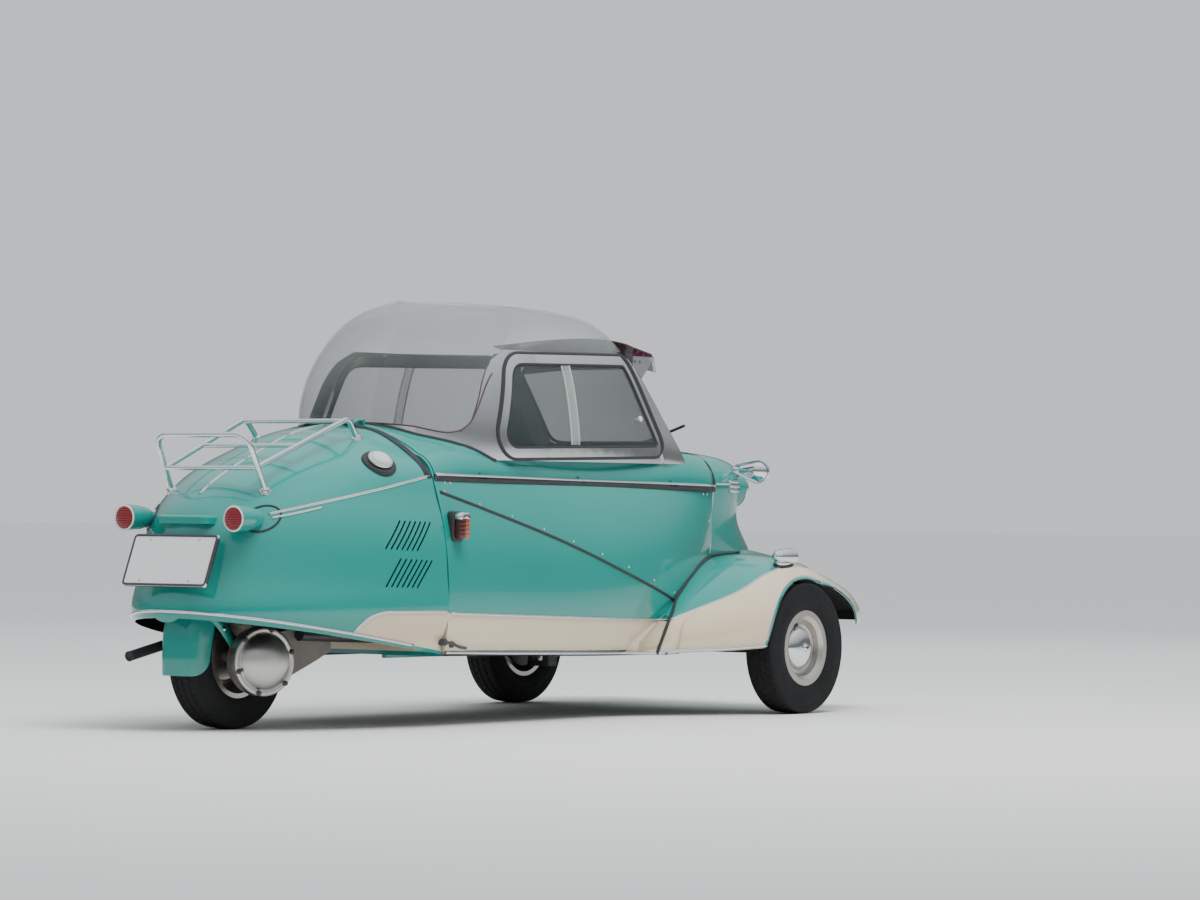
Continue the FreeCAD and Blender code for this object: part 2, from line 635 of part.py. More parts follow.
def block(half_low, half_high, back_low, back_high, z_low, z_high):
    """A box between two distances on every axis."""
    return Part.makeBox(half_high - half_low, back_high - back_low, z_high - z_low,
                        at(half_low, back_low, z_low))


# Knuckles: upright, stub axle and brake drum.
kingpin_low = Sizes.wheel_z - Sizes.kingpin_height / 2
for name, side in (("left", 1), ("right", -1)):
    upright = Part.makeCylinder(Sizes.kingpin_radius, Sizes.kingpin_height,
                                at(side * Sizes.kingpin_half, 0, kingpin_low))
    start = at(side * Sizes.kingpin_half, 0, Sizes.wheel_z)
    stub = rod(start, at(side * (Sizes.half_track + Sizes.rim_dish - 1), 0, Sizes.wheel_z), Sizes.stub_radius)
    drum_out = at(side * (Sizes.half_track + Sizes.rim_dish - 8), 0, Sizes.wheel_z)
    drum = rod(drum_out - Vector(side * Sizes.drum_depth, 0, 0), drum_out, 60)
    plate = rod(drum_out - Vector(side * (Sizes.drum_depth + 8), 0, 0),
                drum_out - Vector(side * Sizes.drum_depth, 0, 0), Sizes.drum_radius)
    feature(f"knuckle_{name}", upright.fuse([stub, drum, plate]).removeSplitter())

# Front axle: cross tube with a fork at each end that holds the upright.
axle = rod(at(-392, 0, Sizes.wheel_z), at(392, 0, Sizes.wheel_z), Sizes.cross_tube_radius)
for side in (1, -1):
    inner, outer = sorted((side * 386, side * 410))
    web = block(inner, outer, -22, 22, kingpin_low - 16.3, kingpin_low + Sizes.kingpin_height + 16.3)
    inner, outer = sorted((side * 410, side * 470))
    low_ear = block(inner, outer, -20, 20, kingpin_low - 16.3, kingpin_low - 0.3)
    top = kingpin_low + Sizes.kingpin_height
    high_ear = block(inner, outer, -20, 20, top + 0.3, top + 16.3)
    axle = axle.fuse([web, low_ear, high_ear])
for side in (1, -1):
    axle = axle.fuse(rod(at(side * 120, 0, 203), at(side * 120, 300, 203), 12))
feature("front_axle", axle.removeSplitter())

# Rear subframe, engine block, swing arm with chain case, hub cover and guard.
rail_start = Sizes.rear_seam_back + Sizes.seat_gap
rails = [rod(at(side * 152, rail_start - 5, 250), at(side * 152, 1900, 262), 16) for side in (-1, 1)]
subframe = rails[0].fuse([rails[1], rod(at(-166, 1700, 259), at(166, 1700, 259), 16)])
feature("rear_subframe", subframe.cut(block(-200, 200, rail_start - 20, rail_start, 200, 300)))
engine_rear = 1830
feature("engine_block", block(-60, 190, 1600, engine_rear, 277, 560))

axle_back, axle_z = Sizes.wheelbase, Sizes.wheel_z
case_half = Sizes.case_half
case_points = [(1740, 215), (1740, 282), (1800, 290), (1960, 272), (2030, 272), (2090, 250), (2106, 200),
               (2080, 146), (2030, 128), (1960, 132), (1800, 190)]
case = slab([at(-case_half + Sizes.case_half_width, back, z) for back, z in case_points],
            Vector(-2 * Sizes.case_half_width, 0, 0))
pivot = rod(at(-135.7, 1765, 256), at(135.7, 1765, 256), 19)
left_arm = slab([at(70, back, z) for back, z in [(1745, 225), (1745, 275), (2050, 222), (2050, 180)]],
                Vector(24, 0, 0))
axle_rod = rod(at(-case_half, axle_back, axle_z), at(90, axle_back, axle_z), Sizes.stub_radius)
cover_turn = Rotation(Vector(0, 0, 1), -Sizes.cover_yaw)
cover_out = cover_turn.multVec(Vector(-1, 0, 0))
cover_base = at(-case_half - Sizes.case_half_width, axle_back + 4, axle_z - 10)
cover_outline = [(0, 0), (0, Sizes.cover_radius), (11, Sizes.cover_radius), (14, Sizes.cover_dome_radius + 6),
                 (16, Sizes.cover_dome_radius), (34, Sizes.cover_dome_radius - 12),
                 (46, Sizes.cover_dome_radius - 32), (Sizes.cover_depth, 22), (Sizes.cover_depth + 1, 0)]
cover = turned(cover_outline, Vector(0, 0, 0), Vector(-1, 0, 0))
cover.Placement = Placement(cover_base + cover_out * Sizes.seat_gap, cover_turn)
housing = rod(cover_base - cover_out * 42, cover_base, Sizes.cover_radius - 6)
beyond = rod(cover_base, cover_base + cover_out * 200, Sizes.cover_radius + 60)
arm = case.fuse([pivot, left_arm, axle_rod, housing]).cut(beyond)
feature("swing_arm", arm.removeSplitter())
feature("hub_cover", cover)

guard_low = Sizes.tyre_radius + Sizes.guard_gap
guard_profile = [(-Sizes.guard_half, guard_low - 40), (-Sizes.guard_half, guard_low + 3),
                 (Sizes.guard_half, guard_low + 3), (Sizes.guard_half, guard_low - 40),
                 (Sizes.guard_half - 3, guard_low - 40), (Sizes.guard_half - 3, guard_low),
                 (-Sizes.guard_half + 3, guard_low), (-Sizes.guard_half + 3, guard_low - 40)]
guard_points = [at(x, axle_back + radius, axle_z) for x, radius in guard_profile]
guard = Part.Face(Part.makePolygon(guard_points + guard_points[:1]))
guard.rotate(at(0, axle_back, axle_z), Vector(1, 0, 0), -14)
guard = guard.revolve(at(0, axle_back, axle_z), Vector(1, 0, 0), 66)
stay_outline = [(-12, -24), (-24, 0), (-12, 24), (0, 26), (180, 72), (205, 10), (0, -26)]
hub_hole = rod(at(-80, axle_back, axle_z), at(80, axle_back, axle_z), Sizes.stub_radius + Sizes.hub_gap)
for side in (-1, 1):
    low = min(side * (Sizes.guard_half - 3), side * Sizes.guard_half)
    stay = prism([at(low, axle_back + back, axle_z + z) for back, z in stay_outline], Vector(3, 0, 0))
    guard = guard.fuse(stay.cut(hub_hole))
guard_low_z = axle_z - (guard_low + 3) * math.sin(math.radians(14)) + 2
guard_face = [at(-Sizes.guard_half - 1, axle_back, guard_low_z), at(-Sizes.guard_half - 1, axle_back, 500),
              at(Sizes.guard_half + 1, axle_back, 500), at(Sizes.guard_half + 1, axle_back, guard_low_z)]
corner = Sizes.guard_corner
guard_window = Part.Face(rounded_polygon(guard_face, [corner, 5, 5, corner])).extrude(Vector(0, 600, 0))
guard_front = Part.makeBox(400, 600, 600, at(-200, axle_back - 600, -100))
guard = guard.common(guard_window.fuse(guard_front)).removeSplitter()
feature("rear_mudguard", sorted(guard.Solids, key=lambda solid: solid.Volume)[-1])


def tube(points, radius, bend):
    """A round tube along straight runs joined by arcs of one bend radius."""
    edges, last = [], points[0]
    for before, here, after in zip(points, points[1:], points[2:]):
        to_before, to_after = (before - here).normalize(), (after - here).normalize()
        half_angle = to_before.getAngle(to_after) / 2
        run = bend / math.tan(half_angle)
        middle = here + (to_before + to_after).normalize() * (bend / math.sin(half_angle) - bend)
        edges += [line(last, here + to_before * run), arc(here + to_before * run, middle, here + to_after * run)]
        last = here + to_after * run
    path = Part.Wire(edges + [line(last, points[-1])])
    ring = Part.Wire(Part.makeCircle(radius, points[0], points[1] - points[0]))
    return path.makePipeShell([ring], True, True)


pipe = tube([at(118, engine_rear - 12, 341), at(140, 1980, 262), at(140, 2120, 236), at(140, 2279, 204)],
            Sizes.pipe_radius, 90)
feature("exhaust_pipe", pipe.cut(block(60, 190, engine_rear - 60, engine_rear + Sizes.seat_gap, 277, 460)))

# Lamps: bullet pods turned about their own axis.
backward, forward = Vector(0, 1, 0), Vector(0, -1, 0)


def pod(centre, outward, radius, length):
    """A pod that tapers away from its lens, with the rim and a shallow lens in front."""
    points = [(6, 0), (4, radius * 0.6), (0, radius * 0.86), (0, radius), (-8, radius),
              (-length * 0.45, radius * 0.93), (-length * 0.75, radius * 0.75), (-length * 0.94, radius * 0.42),
              (-length, 0)]
    places = [centre + outward * along + Vector(0, 0, r) for along, r in points]
    return Part.Face(Part.makePolygon(places + places[:1])).revolve(centre, outward, 360)


tail_lamp = pod(at(-Sizes.lamp_half, Sizes.lamp_back, Sizes.lamp_z), backward, Sizes.lamp_radius, Sizes.lamp_length)
tail_lamp = tail_lamp.cut(tail_outer)
lens_seat = at(-Sizes.lamp_half, Sizes.lamp_back - 4, Sizes.lamp_z)
lens_zone = rod(lens_seat, lens_seat + backward * 34, Sizes.lamp_radius - 8)
tail_lens = tail_lamp.common(lens_zone)
tail_lamp = tail_lamp.cut(lens_zone)
feature("tail_lamps", Part.makeCompound([tail_lamp, mirrored(tail_lamp)]))
feature("tail_lenses", Part.makeCompound([tail_lens, mirrored(tail_lens)]))

# Plate lamp: a pill-shaped hood on the tail above the plate.
hood_half, hood_low, hood_high = Sizes.hood_half, Sizes.hood_z, Sizes.hood_z + Sizes.hood_height
hood_outline = [at(-hood_half, 2120, hood_low), at(hood_half, 2120, hood_low),
                at(hood_half, Sizes.hood_back, hood_low), at(-hood_half, Sizes.hood_back, hood_low)]
hood = Part.Face(rounded_polygon(hood_outline, [8, 8, 38, 38])).extrude(Vector(0, 0, Sizes.hood_height))
rim_edges = [edge for edge in hood.Edges
             if edge.BoundBox.ZMin > hood_high - 0.1 and edge.BoundBox.YMax > at(0, 2150, 0).y]
hood = hood.makeFillet(9, rim_edges).cut(tail_outer)
feature("plate_lamp", sorted(hood.Solids, key=lambda solid: solid.Volume)[-1])
head_lamp = pod(at(-Sizes.head_half, Sizes.head_back, Sizes.head_z), forward, Sizes.head_radius, Sizes.head_length)
head_lamp = head_lamp.cut(nose_outer)
feature("headlamps", Part.makeCompound([head_lamp, mirrored(head_lamp)]))
fender_lamp = pod(at(-526, 0, 480), forward, 27, 95)
fender_outer = mirrored(fender_solid(0))
fender_lamp = fender_lamp.cut(fender_outer)
fender_lamp = sorted(fender_lamp.Solids, key=lambda solid: solid.Volume)[-1]
feature("fender_lamps", Part.makeCompound([fender_lamp, mirrored(fender_lamp)]))
side_lamp_corners = [at(-395, 1492, 526), at(-395, 1492, 612), at(-395, 1540, 612), at(-395, 1540, 526)]
side_lamp_face = rounded_polygon(side_lamp_corners, [14, 14, 14, 14])
side_lamp = Part.Face(side_lamp_face).extrude(Vector(-45, 0, 0)).cut(tub_outer)
feature("side_lamps", Part.makeCompound([side_lamp, mirrored(side_lamp)]))

# Plate holder with four screw holes, on two brackets that reach the tail.
plate_turn = Placement(at(0, Sizes.plate_back, Sizes.plate_z), Rotation(Vector(1, 0, 0), Sizes.plate_tilt))
plate = Part.makeBox(Sizes.plate_width, Sizes.plate_gauge, Sizes.plate_height,
                     Vector(-Sizes.plate_width / 2, 0, -Sizes.plate_height / 2))
for across_sign in (-1, 1):
    for up_sign in (-1, 1):
        hole_point = Vector(across_sign * Sizes.hole_spacing_x / 2, -1, up_sign * Sizes.hole_spacing_z / 2)
        plate = plate.cut(Part.makeCylinder(Sizes.hole_radius, 20, hole_point, Vector(0, 1, 0)))
brackets = [Part.makeBox(24, 70, 60, Vector(side * 60 - 12, -70, -30)) for side in (-1, 1)]
holder = plate.fuse(brackets)
holder.Placement = plate_turn
holder = holder.cut(tail_solid(-Sizes.seat_gap))
feature("number_plate", sorted(holder.Solids, key=lambda solid: solid.Volume)[-1])

# Luggage rack: rear hoop, two side rails, three cross bars.
r = Sizes.rack_tube_radius
hoop = tube([at(-172, 2064, 640), at(-168, 2152, 819), at(168, 2152, 819), at(172, 2064, 640)], r, Sizes.rack_bend)
rails = [tube([at(side * 166, 2108, 728), at(side * 190, 1741, 871), at(side * 182, 1672, 790)], r, 26)
         for side in (1, -1)]
bars = [rod(at(-half, back, z), at(half, back, z), r * 0.8)
        for half, back, z in ((164, 2110, 727), (178, 1943, 792), (188, 1757, 864))]
rack = hoop.fuse(rails + bars).cut(tail_outer)
rack = sorted(rack.Solids, key=lambda solid: solid.Volume)[-1]
feature("luggage_rack", rack.removeSplitter())

filler_axis = Vector(-0.584, 0.202, 0.786)
filler_seat = at(-Sizes.cap_half, Sizes.cap_back, Sizes.cap_z)
filler = rod(filler_seat - filler_axis * 20, filler_seat + filler_axis * Sizes.filler_height, Sizes.filler_radius)
feature("fuel_cap", filler.cut(tail_outer))

# Mirror: an egg-shaped bowl whose glass faces the driver, on a stalk from the nose.
def egg(scale, depth):
    """Outline of the mirror at a depth behind its glass: wide outboard, narrow inboard."""
    big, small, apart = 37 * scale, 17 * scale, 66 * scale
    tilt = math.acos((big - small) / apart)
    points = []
    for centre_x, radius, angles in ((-33 * scale, big, (tilt, math.pi, 2 * math.pi - tilt)),
                                     (33 * scale, small, (-tilt, 0, tilt))):
        points.append([Vector(centre_x + radius * math.cos(angle), -depth, radius * math.sin(angle))
                       for angle in angles])
    outer, inner = points
    return Part.Wire([arc(*outer), line(outer[2], inner[0]), arc(*inner), line(inner[2], outer[0])])


bowl = loft([egg(1, 0), egg(1, 5), egg(0.9, 18), egg(0.6, 30)])
bowl.Placement = Placement(at(-290, -104, 745), Rotation(Vector(0, 0, 1), 14) * Rotation(Vector(0, 1, 0), -6))
stem = rod(at(-205, -128, 715), at(-280, -118, 742), 5)
mirror = bowl.fuse(stem).cut(nose_outer)
feature("mirror", sorted(mirror.Solids, key=lambda solid: solid.Volume)[-1])

# Sun visor: a bent sheet ahead of the windscreen's top, on a bracket at each pillar.
# Its lengthwise lines from rear to front: back at the ends, back in the middle, z
VISOR_LINES = [(496, 408, 1143), (430, 335, 1128), (352, 242, 1108), (338, 226, 1062)]
VISOR_HALF = 252
VISOR_GAUGE = 3


def visor_sheet():
    wires = []
    for half, low in ((VISOR_HALF, 22), (VISOR_HALF * 0.5, 6), (0, 0), (-VISOR_HALF * 0.5, 6), (-VISOR_HALF, 22)):
        bow = 1 - (half / VISOR_HALF) ** 2
        top = [at(half, end + (middle - end) * bow, z - low) for end, middle, z in VISOR_LINES]
        under = [point + Vector(0, 1, -VISOR_GAUGE) for point in reversed(top)]
        wires.append(Part.makePolygon(top + under + top[:1]))
    return Part.makeLoft(wires, True, False)


visor = visor_sheet()
for side in (1, -1):
    bracket = slab([at(side * 243, 452, 1050), at(side * 243, 446, 1112), at(side * 243, 352, 1094),
                    at(side * 243, 350, 1070), at(side * 243, 424, 1000)], Vector(side * 3, 0, 0))
    visor = visor.fuse(bracket)
visor = visor.cut(greenhouse(Sizes.frame_proud + 0.3))
feature("sun_visor", sorted(visor.Solids, key=lambda solid: solid.Volume)[-1])


# Cabin: seats, dash and steering bar.
def rounded_prism(outline, radii, thickness):
    """A closed outline with rounded corners, filled and pushed along a vector."""
    return Part.Face(rounded_polygon(outline, radii)).extrude(thickness)


FRONT_SEAT = [(640, 300.3), (640, 430), (1030, 400), (1085, 745), (1140, 745), (1110, 300.3)]
REAR_SEAT = [(1190, 300.3), (1190, 430), (1450, 400), (1490, 770), (1540, 760), (1530, 300.3)]
SEAT_RADII = [12, 40, 30, 26, 26, 20]
for seat_name, half, outline in (("front_seat", Sizes.seat_half, FRONT_SEAT),
                                 ("rear_seat", Sizes.bench_half, REAR_SEAT)):
    corners = [at(-half, back, z) for back, z in outline]
    feature(seat_name, rounded_prism(corners, SEAT_RADII, Vector(2 * half, 0, 0)))

column_low, column_high = at(0, 100, 330), at(0, 400, 660)
lean = (column_high - column_low).normalize()
sleeve = rod(column_low + lean * 120, column_high - lean * 60, Sizes.column_radius + 8)
bore = rod(column_low, column_high, Sizes.column_radius + Sizes.column_gap)
dash_corners = [at(-200, back, z) for back, z in ((230, 640), (200, 740), (285, 740), (300, 640))]
dash = rounded_prism(dash_corners, [10, 24, 24, 10], Vector(400, 0, 0))
strut = block(-12, 12, 250, 300, 540, 660)
wings = block(-310, 310, 240, 290, 640, 682).common(tub_solid(gauge + Sizes.seat_gap))
feature("dash_panel", dash.fuse([strut, sleeve, wings]).cut(bore).removeSplitter())

shaft = rod(column_low, column_high, Sizes.column_radius)
bar = tube([column_high + lean * 60 + Vector(-Sizes.bar_half, 0, 0), column_high + lean * 8 + Vector(-110, 0, 0),
            column_high + lean * 8 + Vector(110, 0, 0), column_high + lean * 60 + Vector(Sizes.bar_half, 0, 0)],
           Sizes.bar_radius, 40)
feature("steering_bar", shaft.fuse(bar).removeSplitter())

# Belt rails: straight strips along both belt lines.
rail_front = at(-292, Sizes.front_seam_back + 4, Sizes.belt_front_z)
rail_rear = at(-352, Sizes.rear_seam_back - 4, Sizes.belt_rear_z)
rail_corners = [rail_front, rail_rear, rail_rear + Vector(-Sizes.rail_depth, 0, 0),
                rail_front + Vector(-Sizes.rail_depth, 0, 0)]
rail = slab([corner + Vector(-2, 0, -Sizes.rail_height) for corner in rail_corners],
            Vector(0, 0, Sizes.rail_height)).cut(tub_outer)
rail = sorted(rail.Solids, key=lambda solid: solid.Volume)[-1]
right_rail = rail
for share in (0.16, 0.5, 0.84):
    middle = belt_start + (belt_end - belt_start) * share
    reach = half_length + 1
    right_rail = right_rail.cut(eye(middle, belt_along, -reach, reach, 12))
right_rail = [solid for solid in right_rail.Solids if solid.Volume > 3000]
feature("belt_rails", Part.makeCompound(right_rail + [mirrored(rail)]))

doc.recompute()
pieces = [piece for piece in doc.Objects if piece.TypeId != "Spreadsheet::Sheet"]
os.makedirs("parts", exist_ok=True)
for piece in pieces:
    shape = piece.Shape
    states = [state for state in piece.State if state in ("Invalid", "Error")]
    if states or shape.isNull() or not shape.isValid():
        raise RuntimeError(f"{piece.Label} is not sound")
    shape.exportStep(f"parts/{piece.Label}.step")
    low, high = shape.BoundBox.YMin, shape.BoundBox.YMax
    box = shape.BoundBox
    print(f"{piece.Label:20} solids {len(shape.Solids)} volume {shape.Volume / 1e6:9.3f} y {low:8.1f} {high:8.1f} "
          f"z {box.ZMin:7.1f} {box.ZMax:7.1f} x {box.XMin:7.1f} {box.XMax:7.1f}")
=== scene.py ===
import bmesh
import bpy
import numpy as np
from mathutils import Matrix, Vector
from mathutils.bvhtree import BVHTree


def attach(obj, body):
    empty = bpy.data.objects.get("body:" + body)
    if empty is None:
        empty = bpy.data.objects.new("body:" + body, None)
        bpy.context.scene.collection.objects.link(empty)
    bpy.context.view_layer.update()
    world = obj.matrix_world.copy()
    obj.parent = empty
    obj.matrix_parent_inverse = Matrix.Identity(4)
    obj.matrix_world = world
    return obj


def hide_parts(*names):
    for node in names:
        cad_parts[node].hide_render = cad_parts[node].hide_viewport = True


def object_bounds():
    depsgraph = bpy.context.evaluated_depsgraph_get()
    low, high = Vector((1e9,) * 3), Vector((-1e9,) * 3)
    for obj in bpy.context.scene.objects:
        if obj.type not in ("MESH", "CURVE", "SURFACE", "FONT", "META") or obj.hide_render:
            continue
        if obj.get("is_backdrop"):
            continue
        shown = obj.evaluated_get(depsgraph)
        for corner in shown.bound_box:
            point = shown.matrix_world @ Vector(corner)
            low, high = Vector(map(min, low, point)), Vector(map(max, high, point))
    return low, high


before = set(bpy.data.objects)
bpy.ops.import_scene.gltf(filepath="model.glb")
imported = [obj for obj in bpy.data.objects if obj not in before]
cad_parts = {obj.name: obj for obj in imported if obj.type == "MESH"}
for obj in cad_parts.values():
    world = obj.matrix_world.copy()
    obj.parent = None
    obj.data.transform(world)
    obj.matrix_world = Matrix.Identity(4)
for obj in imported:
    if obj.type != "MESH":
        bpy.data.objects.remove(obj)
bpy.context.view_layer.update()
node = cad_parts

# The camera stands about 14 m behind and to the right of the car at waist height,
# as the photograph was taken, and looks almost level at its middle.
turn, rise, roll = np.radians([53.728, 0.655, 0.506])
ahead = np.array([np.cos(turn) * np.cos(rise), -np.sin(turn) * np.cos(rise), np.sin(rise)])
level_right = np.array([-np.sin(turn), -np.cos(turn), 0.0])
level_up = np.cross(level_right, ahead)
right = level_right * np.cos(roll) + level_up * np.sin(roll)
upward = level_up * np.cos(roll) - level_right * np.sin(roll)
camera_data = bpy.data.cameras.new("camera")
camera = bpy.data.objects.new("camera", camera_data)
bpy.context.scene.collection.objects.link(camera)
camera_data.sensor_width = 36.0
camera_data.lens = 36.0 * 4786.4 / 1200
camera_data.clip_end = 200.0
camera_place = np.eye(4)
camera_place[:3, 0], camera_place[:3, 1], camera_place[:3, 2] = right, upward, -ahead
camera_place[:3, 3] = (-8.7430, 11.3047, 0.6341)
camera.matrix_world = Matrix(camera_place.tolist())
bpy.context.scene.camera = camera

# A pale studio floor runs out to an even pale background. What the car mirrors is a sky that is dark
# at the horizon and bright overhead, with a large soft light on its right and a weaker one in front.
class Field:
    """A value that changes over a surface: one output of a shader node. Sums, products and
    comparisons of fields and numbers add their maths nodes; a comparison gives 1 or 0."""

    def __init__(self, tree, socket):
        self.tree, self.socket = tree, socket

    def step(self, operation, other=0.0):
        """One maths node on this field and another field or a number."""
        maths = self.tree.nodes.new("ShaderNodeMath")
        maths.operation = operation
        self.tree.links.new(self.socket, maths.inputs[0])
        if isinstance(other, Field):
            self.tree.links.new(other.socket, maths.inputs[1])
        else:
            maths.inputs[1].default_value = other
        return Field(self.tree, maths.outputs[0])

    def __add__(self, other):
        return self.step("ADD", other)

    def __sub__(self, other):
        return self.step("SUBTRACT", other)

    def __mul__(self, other):
        return self.step("MULTIPLY", other)

    def __lt__(self, other):
        return self.step("LESS_THAN", other)

    def __gt__(self, other):
        return self.step("GREATER_THAN", other)

    def __or__(self, other):
        return self.step("MAXIMUM", other)

    def __abs__(self):
        return self.step("ABSOLUTE")


class Finish:
    """The shader of one material, or of the sky, and the fields that feed it."""

    def __init__(self, owner, shader="Principled BSDF"):
        owner.use_nodes = True
        self.owner, self.tree, self.colour = owner, owner.node_tree, None
        self.shader = self.tree.nodes[shader]
        self.coordinates = self.tree.nodes.new("ShaderNodeTexCoord").outputs
        self.place = Field(self.tree, self.coordinates["Object"])

    def fed(self, socket, value):
        """Feeds a socket a field, a colour or a number."""
        if isinstance(value, Field):
            self.tree.links.new(value.socket, socket)
        else:
            socket.default_value = (*value, 1) if np.ndim(value) else value

    def made(self, kind, output, feeds):
        """One output of a new node, whose sockets are fed by name."""
        added = self.tree.nodes.new("ShaderNode" + kind)
        for socket, value in feeds.items():
            self.fed(added.inputs[socket], value)
        return Field(self.tree, added.outputs[output])

    def look(self, feeds):
        """Feeds the shader's own sockets by name, and keeps its colour to mix on from."""
        for socket, value in feeds.items():
            self.fed(self.shader.inputs[socket], value)
        self.colour = feeds.get("Base Color", self.colour)
        return self

    def axes(self, kind="Object"):
        """The x, y and z of a coordinate: Object, Normal or, for the sky, Generated."""
        split = self.tree.nodes.new("ShaderNodeSeparateXYZ")
        self.tree.links.new(self.coordinates[kind], split.inputs[0])
        return [Field(self.tree, part) for part in split.outputs]

    def noise(self, scale, detail=2):
        """Cloudy noise between 0 and 1 over the place; the scale is about the clouds in a metre."""
        return self.made("TexNoise", "Fac", {"Vector": self.place, "Scale": scale, "Detail": detail})

    def mixed(self, share, first, second):
        """The first colour where the share is 0 and the second where it is 1."""
        mix = self.tree.nodes.new("ShaderNodeMix")
        mix.data_type = "RGBA"
        for socket, value in ((0, share), (6, first), (7, second)):
            self.fed(mix.inputs[socket], value)
        return Field(self.tree, mix.outputs[2])

    def bumped(self, height, strength, distance):
        """Dimples the surface by a field of height."""
        feeds = {"Height": height, "Strength": strength, "Distance": distance}
        return self.look({"Normal": self.made("Bump", "Normal", feeds)})

    def curve(self, along, corners, straight=False):
        """Reads a line through (along, height) corners, smooth or straight, at the field along."""
        curve = self.tree.nodes.new("ShaderNodeFloatCurve")
        points = curve.mapping.curves[0].points
        low, length = corners[0][0], corners[-1][0] - corners[0][0]
        while len(points) < len(corners):
            points.new(0.5, 0.5)
        for point, (place, height) in zip(points, corners):
            point.location = ((place - low) / length, height)
            if straight:
                point.handle_type = "VECTOR"
        curve.mapping.update()
        self.fed(curve.inputs["Value"], along * (1 / length) + (-low / length))
        return Field(self.tree, curve.outputs[0])


def new_finish(name):
    """A new material's finish."""
    return Finish(bpy.data.materials.new(name))


floor_mesh = bpy.data.meshes.new("floor")
floor_mesh.from_pydata([(-90, -90, 0), (90, -90, 0), (90, 90, 0), (-90, 90, 0)], [], [(0, 1, 2, 3)])
floor = bpy.data.objects.new("floor", floor_mesh)
bpy.context.scene.collection.objects.link(floor)
floor_paint = new_finish("pale_floor").look({"Base Color": (0.78, 0.77, 0.75), "Roughness": 0.8,
                                             "Specular IOR Level": 0.15})
floor.data.materials.append(floor_paint.owner)
floor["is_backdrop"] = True
world = bpy.data.worlds.new("studio")
bpy.context.scene.world = world
sky = Finish(world, "Background")
ramp = sky.tree.nodes.new("ShaderNodeValToRGB")
stops = ramp.color_ramp.elements
stops[0].position, stops[0].color = 0.50, (0.16, 0.165, 0.16, 1)
stops[1].position, stops[1].color = 0.95, (1.15, 1.22, 1.30, 1)
for height, shade in ((0.57, (0.18, 0.19, 0.19, 1)), (0.63, (0.46, 0.48, 0.50, 1)),
                      (0.77, (0.78, 0.83, 0.88, 1))):
    stops.new(height).color = shade
sky.fed(ramp.inputs[0], sky.axes("Generated")[2] * 0.5 + 0.5)
seen_straight = sky.made("LightPath", "Is Camera Ray", {})
background = sky.mixed(seen_straight, Field(sky.tree, ramp.outputs[0]), (0.745, 0.765, 0.795))
sky.look({"Color": background, "Strength": 1.0})
for lamp_name, place, aim, width, power in (
        ("overhead_softbox", (-2.4, 0.8, 5.5), (0, 0.1, 0.5), 3.0, 330),
        ("front_softbox", (2.5, -7.0, 6.0), (0, 0, 0.6), 6.0, 150)):
    light = bpy.data.lights.new(lamp_name, "AREA")
    light.shape = "SQUARE"
    light.size = width
    light.energy = power
    light_object = bpy.data.objects.new(lamp_name, light)
    bpy.context.scene.collection.objects.link(light_object)
    light_object.location = place
    light_object.visible_glossy = False
    light_object.rotation_euler = (Vector(aim) - Vector(place)).to_track_quat("-Z", "Y").to_euler()


AXLE_HEIGHT = 0.201

# The pressed steel skin of tub, canopy, nose, tail and guard is sprayed turquoise over primer
# and polished. The lower flanks are cream up to a moulding line.
def lacquer(name, colour, roughness=0.2, cream=None):
    """Glossy two-coat paint: colour drifts a little with broad noise, and fine noise dimples the
    surface like sprayed lacquer. Where the field from cream() is 1 the colour is cream."""
    paint = new_finish(name)
    drift = paint.noise(2.2, 3)
    shade = paint.mixed(drift, [c * 0.93 for c in colour], [min(c * 1.06, 1) for c in colour])
    if cream:
        shade = paint.mixed(cream(paint), shade, paint.mixed(drift, (0.69, 0.565, 0.385), (0.74, 0.62, 0.44)))
    paint.look({"Base Color": shade, "Roughness": roughness, "Coat Weight": 0.7, "Coat Roughness": 0.05})
    return paint.bumped(paint.noise(160), 0.04, 0.001)


def tub_cream(paint):
    """Cream between the sill moulding and a straight line that rises 33 mm a metre to the tail."""
    x, y, z = paint.axes()
    return (z < y * 0.0326 + 0.302) * (z > y * 0.0235 + 0.1985)


def tail_cream(paint):
    """Cream under z 0.329 and over the slanting bottom strip, with a rounded end near y 1.02."""
    x, y, z = paint.axes()
    past = (y - 0.935) | 0.0
    return (z < past * past * -7.0 + 0.3295) * (z > y * 0.158 + 0.1096)


UNDERSEAL, CABIN_TRIM = (0.012, 0.012, 0.012), (0.055, 0.052, 0.048)


def lined(paint, middle, colour=UNDERSEAL, also=None):
    """Paints faces dull and dark that look towards a middle point inside the shell, the same on both
    sides, and where the field from also() is 1."""
    x, y, z = paint.axes()
    nx, ny, nz = paint.axes("Normal")
    inside = (abs(x) - middle[0]) * (nx * x.step("SIGN")) + (y - middle[1]) * ny + (z - middle[2]) * nz < 0.0
    if also:
        inside = inside | also(x, y, z)
    return paint.look({"Base Color": paint.mixed(inside, paint.colour, colour),
                       "Coat Weight": inside * -0.7 + 0.7, "Roughness": inside * 0.6 + 0.2})


def dark_below(paint):
    """Paints faces black that look down: under the floor, where the normal's z is under -0.6."""
    down = paint.axes("Normal")[2] < -0.6
    return paint.look({"Base Color": paint.mixed(down, paint.colour, UNDERSEAL)})


def coated(finish, *names):
    """Gives CAD pieces a finish."""
    for name in names:
        node[name].data.materials.clear()
        node[name].data.materials.append(finish.owner)


